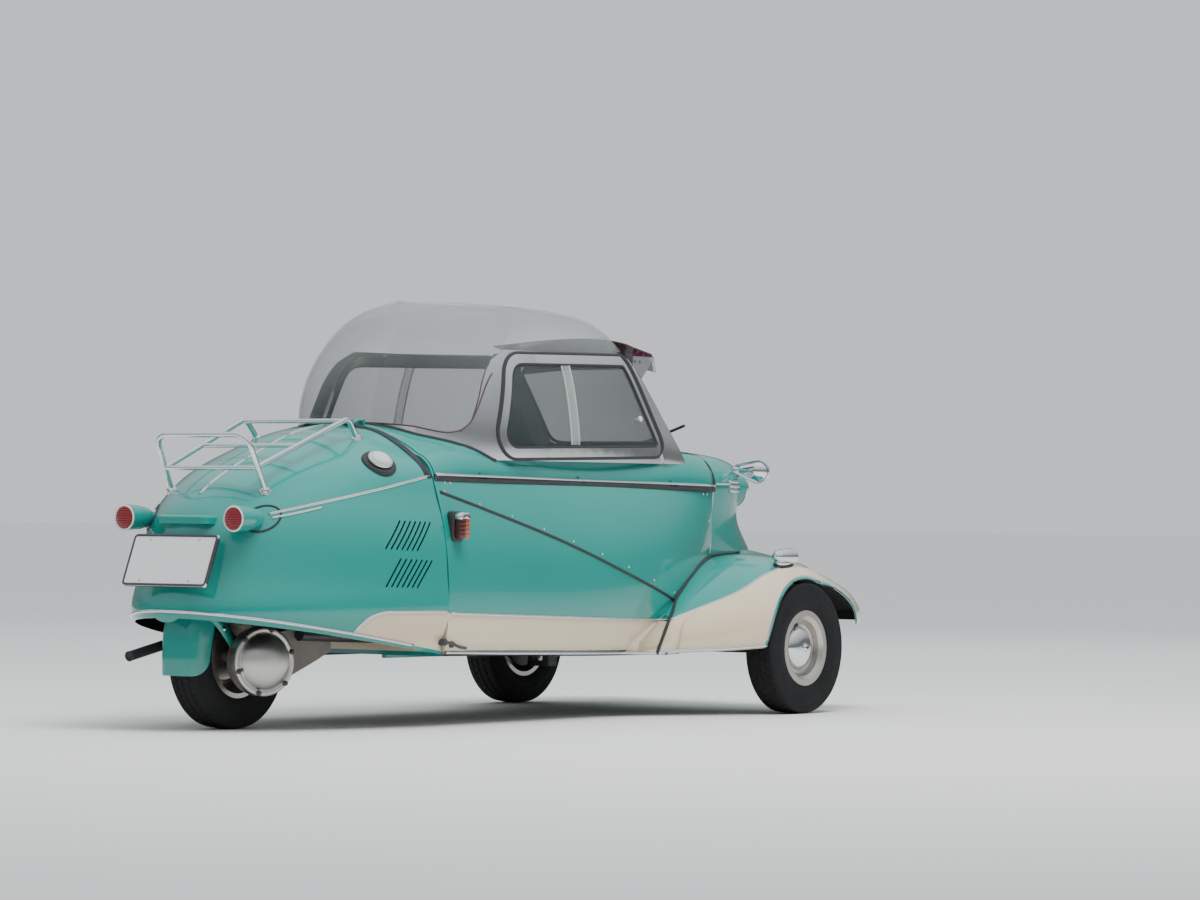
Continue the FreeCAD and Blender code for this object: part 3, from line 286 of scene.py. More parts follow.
TURQUOISE = (0.005, 0.262, 0.222)
panel_paint = lacquer("turquoise_lacquer", TURQUOISE)
coated(panel_paint, "canopy_panel", "tail_lamps", "plate_lamp", "headlamps")
coated(dark_below(lined(lacquer("tub_two_tone", TURQUOISE, cream=tub_cream), (0, -0.05, 0.45), CABIN_TRIM)),
       "tub")
coated(lined(lacquer("tail_two_tone", TURQUOISE, cream=tail_cream), (0, 0.95, 0.50)), "tail_shell")
coated(lined(lacquer("nose_lacquer", TURQUOISE), (0, -0.95, 0.50)), "nose_cowl")

# The front fenders are one pressing each with a wired edge, undersealed black inside. A curved
# line parts the turquoise inner part from the cream outer part, and the arch has a turquoise lip.
PARTING = [(-1.42, 0.385), (-1.20, 0.425), (-1.05, 0.470), (-0.95, 0.505), (-0.87, 0.528), (-0.79, 0.535),
           (-0.728, 0.530), (-0.638, 0.520), (-0.538, 0.4815), (-0.475, 0.4437), (-0.4266, 0.4012),
           (-0.34, 0.310)]
FRONT_AXLE_Y, ARCH_RADIUS, ARCH_TOP_Y, ARCH_TOP_Z, LIP_WIDTH = -0.890, 0.2205, -0.975, 0.4035, 0.0085


def arch_fall(ahead):
    """What the arch's front curve falls by: 1.3 times the square of the distance in front of its
    top, and 1.9 times the cube."""
    return ahead * ahead * 1.3 + ahead * ahead * ahead * 1.9


def by_arch(y, z):
    """The squared distance to the axle, the distance in front of the arch's top (or 0), and the
    height with the front curve's fall added."""
    back, up = y - FRONT_AXLE_Y, z - AXLE_HEIGHT
    ahead = (y * -1 + ARCH_TOP_Y) | 0.0
    return back * back + up * up, ahead, z + arch_fall(ahead)


def fender_cream(paint):
    """Cream outside of a curve in plan (the half width for each place along the fender) and clear of
    the arch's lip: outside a circle about the axle, and above the falling curve in front of it."""
    x, y, z = paint.axes()
    away, ahead, level = by_arch(y, z)
    above = (level > ARCH_TOP_Z) | (y > ARCH_TOP_Y)
    return (abs(x) > paint.curve(y, PARTING)) * (away > ARCH_RADIUS ** 2) * above


def arch_inside(x, y, z):
    """1 inside the arch's lip: nearer to the axle than its inner radius, or in front of the axle
    under the lip's falling curve on the outer wall."""
    away, ahead, level = by_arch(y, z)
    under = (level < ARCH_TOP_Z - LIP_WIDTH) * (ahead > 0.0) * (abs(x) > 0.50)
    return (away < (ARCH_RADIUS - LIP_WIDTH) ** 2) | under


fender_paint = lined(lacquer("fender_two_tone", TURQUOISE, cream=fender_cream), (0.44, -0.87, 0.22),
                     also=arch_inside)
coated(fender_paint, "fender_left", "fender_right")


# Bright trim: drawn half-round mouldings of polished steel, clipped along the belt, along the tail's
# flank and lower edge, over the cream bands and along the fender's parting line.
def plated(name, colour=(0.78, 0.79, 0.80), roughness=0.12):
    """Plated or polished metal: mirror-like, with a faint smear of uneven roughness."""
    metal = new_finish(name)
    smear = metal.noise(24, 5)
    spread = metal.made("MapRange", 0, {"Value": smear, "To Min": roughness * 0.7, "To Max": roughness * 1.6})
    return metal.look({"Base Color": metal.mixed(smear, [c * 0.93 for c in colour], colour), "Metallic": 1.0,
                       "Roughness": spread})


def skin_of(*names, extra=()):
    """The named CAD panels, and any extra meshes, as one surface that a ray can meet."""
    corners, faces, start = [], [], 0
    for mesh in [node[name].data for name in names] + list(extra):
        places = np.zeros(len(mesh.vertices) * 3)
        mesh.vertices.foreach_get("co", places)
        mesh.calc_loop_triangles()
        triangles = np.zeros(len(mesh.loop_triangles) * 3, int)
        mesh.loop_triangles.foreach_get("vertices", triangles)
        corners += places.reshape(-1, 3).tolist()
        faces += (triangles.reshape(-1, 3) + start).tolist()
        start = len(corners)
    return BVHTree.FromPolygons(corners, faces)


def met(skin, start, way):
    """Where a ray meets the skin, and the skin's normal there turned against the ray; else None."""
    place, normal, face, reach = skin.ray_cast(Vector(start), Vector(way))
    if place is None:
        return None, None
    return np.array(place), np.array(normal if normal.dot(Vector(way)) < 0 else -normal)


def laid_on(skin, points, direction):
    """Points pushed along a direction until they meet the skin, with the skin's normals there."""
    rows = [met(skin, point, direction) for point in points]
    return tuple(np.array([row[k] for row in rows if row[0] is not None]) for k in (0, 1))


def eased(values, rounds=2):
    """Running average of neighbours along a path, ends kept."""
    values = np.array(values, float)
    for turn_number in range(rounds):
        values[1:-1] = (values[:-2] + 2 * values[1:-1] + values[2:]) / 4
    return values


def resampled(corners, count):
    """Points evenly spread along a smooth line through the corners (cubic in chord length)."""
    corners = np.array(corners, float)
    along = np.concatenate([[0], np.cumsum(np.linalg.norm(np.diff(corners, axis=0), axis=1))])
    slopes = np.gradient(corners, along, axis=0)
    wanted = np.linspace(0, along[-1], count)
    k = np.clip(np.searchsorted(along, wanted) - 1, 0, len(along) - 2)
    h = (along[k + 1] - along[k])[:, None]
    t = (wanted[:, None] - along[k][:, None]) / h
    return ((2 * t**3 - 3 * t**2 + 1) * corners[k] + (t**3 - 2 * t**2 + t) * h * slopes[k]
            + (3 * t**2 - 2 * t**3) * corners[k + 1] + (t**3 - t**2) * h * slopes[k + 1])


def surface(name, grid, around_u=False, around_v=False, caps=False, smooth=True):
    """A mesh over a grid of points (rows, columns, 3), wrapped in either direction, ends capped."""
    rows, columns = grid.shape[:2]
    index = np.arange(rows * columns).reshape(rows, columns)
    down = np.concatenate([index, index[:1]]) if around_u else index
    down = np.concatenate([down, down[:, :1]], axis=1) if around_v else down
    quads = np.stack([down[:-1, :-1], down[:-1, 1:], down[1:, 1:], down[1:, :-1]], axis=-1).reshape(-1, 4)
    faces = quads.tolist()
    if caps:
        faces += [index[0, ::-1].tolist(), index[-1].tolist()]
    mesh = bpy.data.meshes.new(name)
    mesh.from_pydata(grid.reshape(-1, 3).tolist(), [], faces)
    mesh.polygons.foreach_set("use_smooth", np.full(len(mesh.polygons), smooth))
    mesh.update()
    piece = bpy.data.objects.new(name, mesh)
    bpy.context.scene.collection.objects.link(piece)
    return piece


def faced_out(piece):
    """Turns the faces of a closed mesh outwards after its doubles are merged."""
    shell = bmesh.new()
    shell.from_mesh(piece.data)
    bmesh.ops.remove_doubles(shell, verts=shell.verts, dist=1e-6)
    bmesh.ops.recalc_face_normals(shell, faces=shell.faces)
    shell.to_mesh(piece.data)
    shell.free()
    return piece


def carried(path, normals, profile, closed=False):
    """A profile (across, out) carried along a path that lies on a skin with these normals."""
    path, normals = np.array(path, float), np.array(normals, float)
    along = np.roll(path, -1, axis=0) - np.roll(path, 1, axis=0) if closed else np.gradient(path, axis=0)
    along /= np.linalg.norm(along, axis=1)[:, None]
    across = np.cross(normals, along)
    across /= np.linalg.norm(across, axis=1)[:, None]
    outward = np.cross(along, across)
    profile = np.array(profile, float)
    return (path[:, None] + across[:, None] * profile[None, :, :1] + outward[:, None] * profile[None, :, 1:])


def half_round(width, height, sunk=0.001, count=9):
    """Half an ellipse on its flat side, the flat side a little under the skin."""
    angle = np.linspace(0, np.pi, count)
    bow = np.stack([np.cos(angle) * width / 2, np.sin(angle) * height], axis=1)
    return np.concatenate([bow, [(-width / 2, -sunk), (width / 2, -sunk)]])


def finished(piece, finish, body):
    """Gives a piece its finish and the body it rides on."""
    piece.data.materials.clear()
    piece.data.materials.append(finish.owner)
    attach(piece, body)
    return piece


def joined(name, parts):
    """Several meshes as one piece."""
    corners, faces, smooth, start = [], [], [], 0
    for part in parts:
        mesh = part.data
        corners += [tuple(v.co) for v in mesh.vertices]
        faces += [[start + k for k in face.vertices] for face in mesh.polygons]
        smooth += [face.use_smooth for face in mesh.polygons]
        start = len(corners)
        bpy.data.objects.remove(part)
        bpy.data.meshes.remove(mesh)
    mesh = bpy.data.meshes.new(name)
    mesh.from_pydata(corners, [], faces)
    mesh.polygons.foreach_set("use_smooth", smooth)
    mesh.update()
    piece = bpy.data.objects.new(name, mesh)
    bpy.context.scene.collection.objects.link(piece)
    return piece


def swept(name, path, normals, profile, closed=False):
    """A profile carried along a path on a skin as a closed mesh: ends capped, or joined up."""
    return faced_out(surface(name, carried(path, normals, profile, closed), around_u=closed, around_v=True,
                             caps=not closed))


def both_sides(name, path, normals, profile, closed=False):
    """A moulding on the right side and its mirror image on the left, as one piece."""
    return joined(name, [swept(name + "_part", np.array(path) * (side, 1, 1),
                               np.array(normals) * (side, 1, 1), profile, closed) for side in (1, -1)])


bright = plated("polished_moulding")
flank = skin_of("tub", "tail_shell", "nose_cowl", "canopy_panel")
fender_skin = skin_of("fender_right")


def side_strip(name, skin, corners, profile, body="body", count=None, ease=(0, 8), ease_x=0, finish=bright):
    """A strip on each flank along (y, z) corners, resampled to a count, laid on the skin from the
    side and smoothed: the line's x alone, then the line and its normals."""
    line_points = [(-2, y, z) for y, z in corners]
    path, normals = laid_on(skin, resampled(line_points, count) if count else line_points, (1, 0, 0))
    path[:, 0] = eased(path[:, 0], ease_x)
    return finished(both_sides(name, eased(path, ease[0]), eased(normals, ease[1]), profile), finish, body)

# The fender's heel: sheet that carries the tub's flank out to the piping in front of the sill and on
# to the fender's skin. It is sprayed with the tub, in the same two colours.
HEEL = np.array([(0.1880, -0.3500, -0.4070), (0.2110, -0.3620, -0.4070), (0.2520, -0.3920, -0.4040),
                 (0.2750, -0.4127, -0.4000), (0.2920, -0.4310, -0.3950), (0.3030, -0.4494, -0.3880),
                 (0.3200, -0.4753, -0.3790)])
heel_rows = []
for height in np.linspace(0.188, 0.318, 22):
    fold_y, fold_x = np.interp(height, HEEL[:, 0], HEEL[:, 1]), np.interp(height, HEEL[:, 0], HEEL[:, 2])
    back_y = fold_y + 0.11 * np.clip((0.325 - height) / 0.10, 0.15, 1)
    front_y = fold_y - np.interp(height, [0.188, 0.25, 0.29, 0.32], [0.075, 0.040, 0.020, 0.012])
    back_x = met(flank, (-2, back_y, max(height, 0.197)), (1, 0, 0))[0][0]
    front = met(fender_skin, (-2, front_y, max(height, 0.197)), (1, 0, 0))[0]
    front_x = front[0] - 0.0006 if front is not None else fold_x
    share = np.linspace(0, 1, 12)
    ramp = back_x + 0.0006 + (fold_x - back_x) * share ** 1.6
    row = [(x, y, height) for x, y in zip(ramp, back_y + (fold_y - back_y) * share)]
    row += [(fold_x + (front_x - fold_x) * k, fold_y + (front_y - fold_y) * k,
             height) for k in (0.33, 0.67, 1.0)]
    heel_rows.append(row + [(front_x + 0.006, front_y, height), (back_x + 0.010, back_y, height)])
heels = joined("fender_heels", [faced_out(surface("heel", np.array(heel_rows) * (side, 1, 1),
                                                  around_v=True, caps=True))
                                for side in (1, -1)])
finished(heels, lacquer("heel_two_tone", TURQUOISE, cream=tub_cream), "body")
flank = skin_of("tub", "tail_shell", "nose_cowl", "canopy_panel", extra=[heels.data])

panel_skin = skin_of("canopy_panel")
belt_y = np.linspace(-0.797, 0.661, 40)
belt_z = 0.7025 + (belt_y + 0.0635) * 0.0137
path, normals = laid_on(panel_skin, [(-2, y, z + 0.016) for y, z in zip(belt_y, belt_z)], (1, 0, 0))
belt_x = np.polyval(np.polyfit(path[:, 1], path[:, 0], 6), belt_y)
path = np.stack([belt_x - 0.0075, belt_y, belt_z + 0.003], axis=1)
belt_bright = both_sides("belt_moulding", path, np.tile((-0.995, -0.04, 0.08), (40, 1)),
                         half_round(0.010, 0.009, 0.008))
finished(belt_bright, bright, "canopy")

for strip_name, corners, width in (
        ("tail_flank_moulding", [(0.678, 0.7135), (0.8146, 0.6873), (0.9591, 0.6580), (1.0836, 0.6320),
                                 (1.215, 0.6010)], 0.009),
        ("tail_flank_short_bar", [(1.085, 0.6200), (1.150, 0.6045), (1.213, 0.5900)], 0.007),
        ("tail_band_moulding", [(0.678, 0.3290), (0.8796, 0.3302), (0.935, 0.3293), (0.985, 0.3140),
                                (1.018, 0.2830)], 0.008)):
    side_strip(strip_name, flank, corners, half_round(width, 0.005), "tail", 40, (0, 6), 6)
side_strip("tub_band_moulding", flank,
           [(0.667, 0.3238), (0.3366, 0.3129), (-0.0673, 0.2998), (-0.3821, 0.2895), (-0.4240, 0.2882)],
           half_round(0.008, 0.005), count=44, ease=(0, 6))


def tail_edge_height(y):
    """The tail's bottom edge rises 158 mm a metre to the rear; its moulding lies 6 mm over it."""
    return 0.2055 + 0.158 * (y - 0.6452) + 0.006


rim_points, rim_normals = [], []
for angle in np.radians(np.linspace(0, 180, 90)):
    out = np.array([-np.cos(angle), np.sin(angle), 0])
    level_y = max(0.80 + 0.60 * np.sin(angle), 0.68)
    for refine in range(4):
        place, normal = met(flank, (out[0] * 3, 0.80 + out[1] * 3, tail_edge_height(level_y)), -out)
        level_y = place[1]
    rim_points.append(place)
    rim_normals.append(normal)
edge_strip = swept("tail_edge_moulding", eased(rim_points, 3), eased(rim_normals, 8),
                   half_round(0.010, 0.006))
finished(edge_strip, bright, "tail")
side_strip("sill_moulding", flank, [(0.660, 0.2135), (0.3936, 0.2062), (0.0957, 0.2000), (-0.2458, 0.1930),
                                    (-0.385, 0.1905)],
           half_round(0.009, 0.005), count=50, ease=(10, 12))
path, normals = laid_on(flank, resampled([(0, 1.262, 2), (0, 1.0, 2), (0, 0.728, 2)], 50), (0, 0, -1))
spine = swept("tail_spine_moulding", eased(path, 3), eased(normals, 8), half_round(0.010, 0.004))
finished(spine, bright, "tail")

edge_places = [(-0.4075, -0.353, 0.1945), (-0.4110, -0.368, 0.1950), (-0.4155, -0.385, 0.1955),
               (-0.4215, -0.405, 0.1960)]
edge_normals = [(-0.95, 0.3, -0.1)] * 4
for along in np.linspace(-0.430, -0.676, 32):
    for height in np.arange(0.180, 0.230, 0.0005):
        below = met(fender_skin, (-2, along, height), (1, 0, 0))[0]
        if below is not None and below[0] < -0.38:
            place, normal = met(fender_skin, (-2, along, height + 0.007), (1, 0, 0))
            edge_places.append(place)
            edge_normals.append(normal)
            break
foot = both_sides("fender_foot_moulding", eased(edge_places, 6), eased(edge_normals, 8),
                  half_round(0.011, 0.005))
finished(foot, bright, "body")

arch = [(FRONT_AXLE_Y - ARCH_RADIUS * np.sin(angle), AXLE_HEIGHT + ARCH_RADIUS * np.cos(angle))
        for angle in np.radians(np.linspace(-83, 20, 40))]
arch += [(ARCH_TOP_Y - ahead, ARCH_TOP_Z - arch_fall(ahead)) for ahead in np.linspace(0.012, 0.262, 22)]
side_strip("arch_bead", fender_skin, arch, half_round(0.0045, 0.0022), ease=(6, 10))

lip_line = resampled([(0, y, z) for y, z in arch], 90)
lip_way = np.gradient(lip_line, axis=0)
lip_way /= np.linalg.norm(lip_way, axis=1)[:, None]
inward = np.stack([np.zeros(90), -lip_way[:, 2], lip_way[:, 1]], axis=1)
edge_x, outer_x = (eased([met(fender_skin, point - (2, 0, 0),
                              (1, 0, 0))[0][0] for point in lip_line + inward * shift], 8)
                   for shift in (-0.001, -0.009))
lean_in = np.clip((edge_x - outer_x) / 0.008, -0.5, 0.5)
section = [(0.0, 0.0012), (0.0, -0.0009), (LIP_WIDTH, -0.0009), (LIP_WIDTH, 0.0060),
           (LIP_WIDTH - 0.0015, 0.0060), (LIP_WIDTH - 0.0015, 0.0012)]
grid = np.stack([lip_line + inward * across + (edge_x + lean_in * across + deep)[:, None] * (1, 0, 0)
                 for across, deep in section], axis=1)
lips = joined("arch_lips", [faced_out(surface("arch_lip", grid * (side, 1, 1), around_v=True,
                                              caps=True)) for side in (1, -1)])
finished(lips, panel_paint, "body")

path, normals = laid_on(fender_skin, resampled([(-half, y, 2) for y, half in PARTING[1:]], 60), (0, 0, -1))
parting = both_sides("fender_parting_moulding", eased(path, 4), eased(normals, 8), half_round(0.006, 0.003))
finished(parting, bright, "body")
side_strip("nose_seam_moulding", flank, [(-0.806, 0.690), (-0.804, 0.60), (-0.803, 0.50), (-0.803, 0.478)],
           half_round(0.006, 0.003), count=24)
nose_skin = skin_of("nose_cowl")
side_strip("nose_thin_bar", nose_skin, [(-0.8176, 0.7012), (-0.9100, 0.7012)], half_round(0.007, 0.006),
           count=20, ease=(0, 4))
for level, start, height in (("upper", -0.9094, 0.7085), ("middle", -0.9101, 0.6945),
                             ("lower", -0.9150, 0.6805)):
    side_strip("nose_" + level + "_bar", nose_skin, [(y, height) for y in (start, -0.970, -1.036)],
               half_round(0.010, 0.006), count=20, ease=(0, 4))


# Black rubber: piping between fender and tub, the welt on the flank, the band in the canopy's
# front seam and the wide band round the rear seam.
def moulded_rubber(name, colour=(0.018, 0.018, 0.020), roughness=0.55):
    """Moulded rubber: near black, matt, with a fine grain and dust-pale drift."""
    rubber = new_finish(name)
    shade = rubber.mixed(rubber.noise(18, 6), colour, [c * 1.9 + 0.004 for c in colour])
    rubber.look({"Base Color": shade, "Roughness": roughness})
    return rubber.bumped(rubber.noise(420), 0.25, 0.0006)


rubber = moulded_rubber("black_rubber")
path = np.stack([belt_x - 0.0065, belt_y, belt_z - 0.0095], axis=1)
strip = both_sides("belt_rubber_strip", path, np.tile((-0.995, -0.04, -0.02), (40, 1)),
                   half_round(0.014, 0.009, 0.009))
finished(strip, rubber, "canopy")
side_strip("flank_welt", flank, [(0.6596, 0.6661), (0.4845, 0.6230), (0.1218, 0.5302), (-0.2766, 0.4107),
                                 (-0.5000, 0.3470)],
           half_round(0.009, 0.004), count=60, finish=rubber)

rivet_places = [(0.6385, 0.6690), (0.4845, 0.6320), (0.3386, 0.5985), (0.1923, 0.5620), (0.0539, 0.5260),
                (-0.0833, 0.4885), (-0.2181, 0.4500), (-0.3578, 0.4095), (-0.4900, 0.3700), (0.627, 0.6930),
                (0.600, 0.6925), (-0.740, 0.6705), (-0.765, 0.6700), (-0.776, 0.587), (-0.779, 0.507)]
path, normals = laid_on(flank, [(-2, y, z) for y, z in rivet_places], (1, 0, 0))
angle, ring = np.meshgrid(np.linspace(0, 2 * np.pi, 12, endpoint=False), np.linspace(0, np.pi / 2, 5)[:-1])
rivets = []
for place, normal in zip(path, normals):
    for side in (1, -1):
        out = normal * (side, 1, 1)
        one = np.cross(out, (0, 0, 1.0))
        one /= np.linalg.norm(one)
        two = np.cross(out, one)
        spoke = np.cos(angle)[..., None] * one + np.sin(angle)[..., None] * two
        head = spoke * np.cos(ring)[..., None] * 0.0045 + np.sin(ring)[..., None] * out * 0.003
        rivets.append(faced_out(surface("rivet", place * (side, 1, 1) + head, around_v=True, caps=True)))
finished(joined("flank_rivets", rivets), plated("rivet_heads", (0.80, 0.78, 0.72), 0.25), "body")

PIPING = [(-2, -0.9976, 0.4873), (-2, -0.88, 0.4850), (-2, -0.767, 0.4738), (-2, -0.6424, 0.4317),
          (-2, -0.4990, 0.3486)]
path, normals = laid_on(flank, resampled(PIPING, 50), (1, 0, 0))
fold = resampled(HEEL[::-1, [2, 1, 0]] - (0.0008, 0, 0), 22)
sight = np.array([0.592, -0.806, 0.011])
shell = skin_of("tub", "nose_cowl", "fender_right", extra=[heels.data])
path, normals = laid_on(shell, np.concatenate([path, fold]) - sight, sight)
piping = both_sides("fender_piping", eased(path + normals * 0.001, 4), eased(normals, 10),
                    half_round(0.010, 0.006, 0.004))
finished(piping, rubber, "body")


def hoop_line(y, low, count=60):
    """Points round the upper cross-section at one y, from the right belt over the top to the left."""
    rows = []
    for angle in np.radians(np.linspace(0, 180, count)):
        out = np.array([-np.cos(angle), 0, np.sin(angle)])
        place, normal = met(flank, (0, y, low) + out * 3, -out)
        if place is not None and abs(place[1] - y) < 0.02:
            rows.append((place, normal))
    return (np.array([row[k] for row in rows]) for k in (0, 1))


BAND = [(-0.0135, -0.004), (0.0135, -0.004), (0.0135, 0.0030), (0.0110, 0.0045), (-0.0110, 0.0045),
        (-0.0135, 0.0030)]
for band_name, y, low, profile, body in (("rear_seam_band", 0.6950, 0.705, BAND, "tail"),
                                         ("front_seam_band", -0.812, 0.700, half_round(0.017, 0.003, 0.001),
                                          "body")):
    path, normals = hoop_line(y, low)
    finished(swept(band_name, eased(path, 3), eased(normals, 6), profile), rubber, body)

# Glazing: a blown acrylic dome, a flat windscreen and flat side panes, all faintly smoky. The dome's
# lower edge and the corner behind the side window are backed by a polished aluminium band.
BAND_EDGE = [(-0.60, 1.083), (0.25, 1.083), (0.32, 1.0496), (0.3496, 1.0206), (0.3736, 0.9849),
             (0.4037, 0.9213), (0.4301, 0.8684), (0.4644, 0.8385), (0.5017, 0.8320), (0.5331, 0.8375),
             (0.6008, 0.8561), (0.66, 0.8680)]


def clear_pane(name, colour, facing_on=0.16, edge_on=0.75, band=False):
    """Clear acrylic or glass: almost see-through face on, and denser towards its edges. With a band
    it is metal under the band's edge line, which gives a height for each place along the car."""
    pane = new_finish(name).look({"Base Color": colour, "Roughness": 0.03, "Specular IOR Level": 0.7})
    facing = pane.made("LayerWeight", "Facing", {"Blend": 0.28})
    dense = facing * (edge_on - facing_on) + facing_on + pane.noise(5) * 0.03
    if band:
        x, y, z = pane.axes()
        lowered = [(along, height - 0.5) for along, height in BAND_EDGE]
        under = z - 0.5 < pane.curve(y, lowered, straight=True)
        dense = dense | under
        pane.look({"Base Color": pane.mixed(under, colour, (0.62, 0.63, 0.65)), "Metallic": under,
                   "Roughness": under * 0.22 + 0.03})
    return pane.look({"Alpha": dense})

coated(clear_pane("smoky_acrylic", (0.30, 0.33, 0.32), 0.04, 0.50, band=True), "dome")
coated(clear_pane("window_glass", (0.07, 0.09, 0.09), 0.24, 0.6), "windscreen", "window_panes")

# The window frames are bent from polished aluminium section and sit in black rubber, and each pane
# in a second rubber inside them. A dark seal runs round the dome's foot and along the band's edge.
SIDE_FRAME = [(0.372, 0.766, 0.070), (-0.545, 0.784, 0.038), (-0.390, 1.082, 0.040), (0.262, 1.070, 0.092)]
SCREEN_FRAME = [(0.252, 0.798, 0.046), (0.232, 1.082, 0.044), (-0.232, 1.082, 0.044), (-0.252, 0.798, 0.046)]
FRAME_WIDTH = 0.026


def rounded_outline(corners, grow, spacing=0.008):
    """Evenly spaced points round a polygon of (across, up, radius) corners: an arc about each
    corner's own centre, its radius grown outwards, with straight runs between."""
    corners = np.array(corners, float)
    places, radii = corners[:, :2], corners[:, 2]
    after = np.roll(places, -1, axis=0)
    sense = np.sign(np.sum(places[:, 0] * after[:, 1] - after[:, 0] * places[:, 1]))
    runs = after - places
    runs /= np.linalg.norm(runs, axis=1)[:, None]
    outs = np.stack([runs[:, 1], -runs[:, 0]], axis=1) * sense
    line_points = []
    for place, radius, out_one, out_two in zip(places, radii, np.roll(outs, 1, axis=0), outs):
        middle = (out_one + out_two) / np.linalg.norm(out_one + out_two)
        centre = place - middle * radius / (middle @ out_one)
        for share in np.linspace(0, 1, 9):
            out = out_one * (1 - share) + out_two * share
            line_points.append(centre + out / np.linalg.norm(out) * (radius + grow))
    line_points = np.array(line_points + line_points[:1])
    along = np.concatenate([[0], np.cumsum(np.linalg.norm(np.diff(line_points, axis=0), axis=1))])
    wanted = np.linspace(0, along[-1], int(along[-1] / spacing), endpoint=False)
    return np.stack([np.interp(wanted, along, line_points[:, k]) for k in (0, 1)], axis=1)


def rounded(values, rounds=3):
    """Running average of neighbours round a closed path."""
    values = np.array(values, float)
    for turn_number in range(rounds):
        values = (np.roll(values, 1, axis=0) + 2 * values + np.roll(values, -1, axis=0)) / 4
    return values


frame_metal = plated("frame_aluminium", (0.80, 0.81, 0.82), 0.16)
coated(frame_metal, "window_frames", "windscreen_frame")
glasshouse = skin_of("dome", "canopy_panel", "windscreen_frame", "window_frames")
pane_skin = skin_of("window_panes")
for gasket_name, skin, grow, profile in (
        ("window_outer_gaskets", glasshouse, 0.003, half_round(0.0125, 0.006, 0.004)),
        ("window_inner_gaskets", pane_skin, -FRAME_WIDTH - 0.003, half_round(0.008, 0.006, 0.001))):
    path, normals = laid_on(skin, [(-2, y, z) for y, z in rounded_outline(SIDE_FRAME, grow)], (1, 0, 0))
    finished(both_sides(gasket_name, rounded(path, 4), rounded(normals, 6), profile, closed=True), rubber,
             "canopy")
for gasket_name, skin, grow, width in (("screen_outer_gasket", glasshouse, 0.005, 0.015),
                                       ("screen_inner_gasket", skin_of("windscreen"), -FRAME_WIDTH - 0.003,
                                        0.008)):
    path, normals = laid_on(skin, [(x, -3, z) for x, z in rounded_outline(SCREEN_FRAME, grow)], (0, 1, 0))
    gasket = swept(gasket_name, rounded(path, 6), rounded(normals, 8), half_round(width, 0.006, 0.004), True)
    finished(gasket, rubber, "canopy")

dome_skin, band_places = skin_of("dome"), np.array(BAND_EDGE).T
seal_path, seal_normals, edge_path, edge_normals = [], [], [], []
for angle in np.radians(np.linspace(31, 149, 200)):
    out = np.array([-np.cos(angle), np.sin(angle), 0])
    for height in np.arange(0.900, 0.755, -0.001):
        start = (0, 0.15, height) + out * 2
        on_dome, dome_normal = met(dome_skin, start, -out)
        on_panel = met(panel_skin, start, -out)[0]
        if on_panel is not None and (on_dome is None or (on_panel - on_dome) @ out >= 0):
            seal_path.append(on_panel)
            seal_normals.append((dome_normal if on_dome is not None else out) + (0, 0, 0.8))
            break
    height = 0.87
    for refine in range(4):
        on_dome, dome_normal = met(dome_skin, (0, 0.15, height) + out * 2, -out)
        if on_dome is not None:
            height = 0.5 * height + 0.5 * np.interp(on_dome[1], *band_places)
    if on_dome is not None:
        edge_path.append(on_dome)
        edge_normals.append(dome_normal)
seal = swept("dome_foot_seal", eased(seal_path, 8), eased(seal_normals, 12), half_round(0.012, 0.005, 0.004))
finished(seal, rubber, "canopy")
edge = swept("dome_band_edge", eased(edge_path, 6), eased(edge_normals, 12), half_round(0.005, 0.003))
finished(edge, moulded_rubber("brown_seal", (0.06, 0.03, 0.03), 0.4), "canopy")

# Each side window slides in two panes that overlap; their ground edges are pale strips, the frosted
# glass and a painted highlight where they catch the light, and a clear plastic knob moves the front one.
path, normals = laid_on(pane_skin, resampled([(-2, -0.033, 1.046), (-2, -0.0235, 0.796)], 20), (1, 0, 0))
overlap = both_sides("pane_overlap", path, normals,
                     [(-0.019, 0.0008), (0.019, 0.0008), (0.019, 0.0035), (-0.019, 0.0035)])
finished(overlap, clear_pane("pane_overlap_glass", (0.55, 0.62, 0.58), 0.16, 0.4), "canopy")
# Pale green strips: frosted ground glass, lightened as a painted highlight.
ground_edge_and_glint = lacquer("ground_glass_edge_and_glint", (0.55, 0.66, 0.60), 0.3)
edges = [both_sides("pane_edge", path + (0, shift, 0), normals,
                    half_round(0.0024, 0.0042)) for shift in (-0.019, 0.019)]
finished(joined("pane_edges", edges), ground_edge_and_glint, "canopy")


def turned_piece(name, outline, middle, axis, steps=40):
    """An outline of (along, radius) swept once round an axis through a middle point."""
    axis = np.array(axis, float) / np.linalg.norm(axis)
    one = np.cross(axis, (0, 0, 1) if abs(axis[2]) < 0.9 else (1, 0, 0))
    one /= np.linalg.norm(one)
    two = np.cross(axis, one)
    angles = np.linspace(0, 2 * np.pi, steps, endpoint=False)[:, None, None]
    outline = np.array(outline, float)
    spoke = np.cos(angles) * one + np.sin(angles) * two
    grid = np.array(middle) + outline[None, :, :1] * axis + outline[None, :, 1:] * spoke
    return faced_out(surface(name, grid, around_u=True))


knobs = [turned_piece("knob", [(-0.001, 0), (-0.001, 0.006), (0.010, 0.005), (0.012, 0.009), (0.017, 0.009),
                               (0.019, 0.006), (0.019, 0)], (side * -0.2985, -0.386, 0.890),
                      (side * -0.96, -0.15, 0.22), 20)
         for side in (1, -1)]
finished(joined("pane_knobs", knobs), lacquer("clear_knob", (0.72, 0.74, 0.74), 0.15), "canopy")

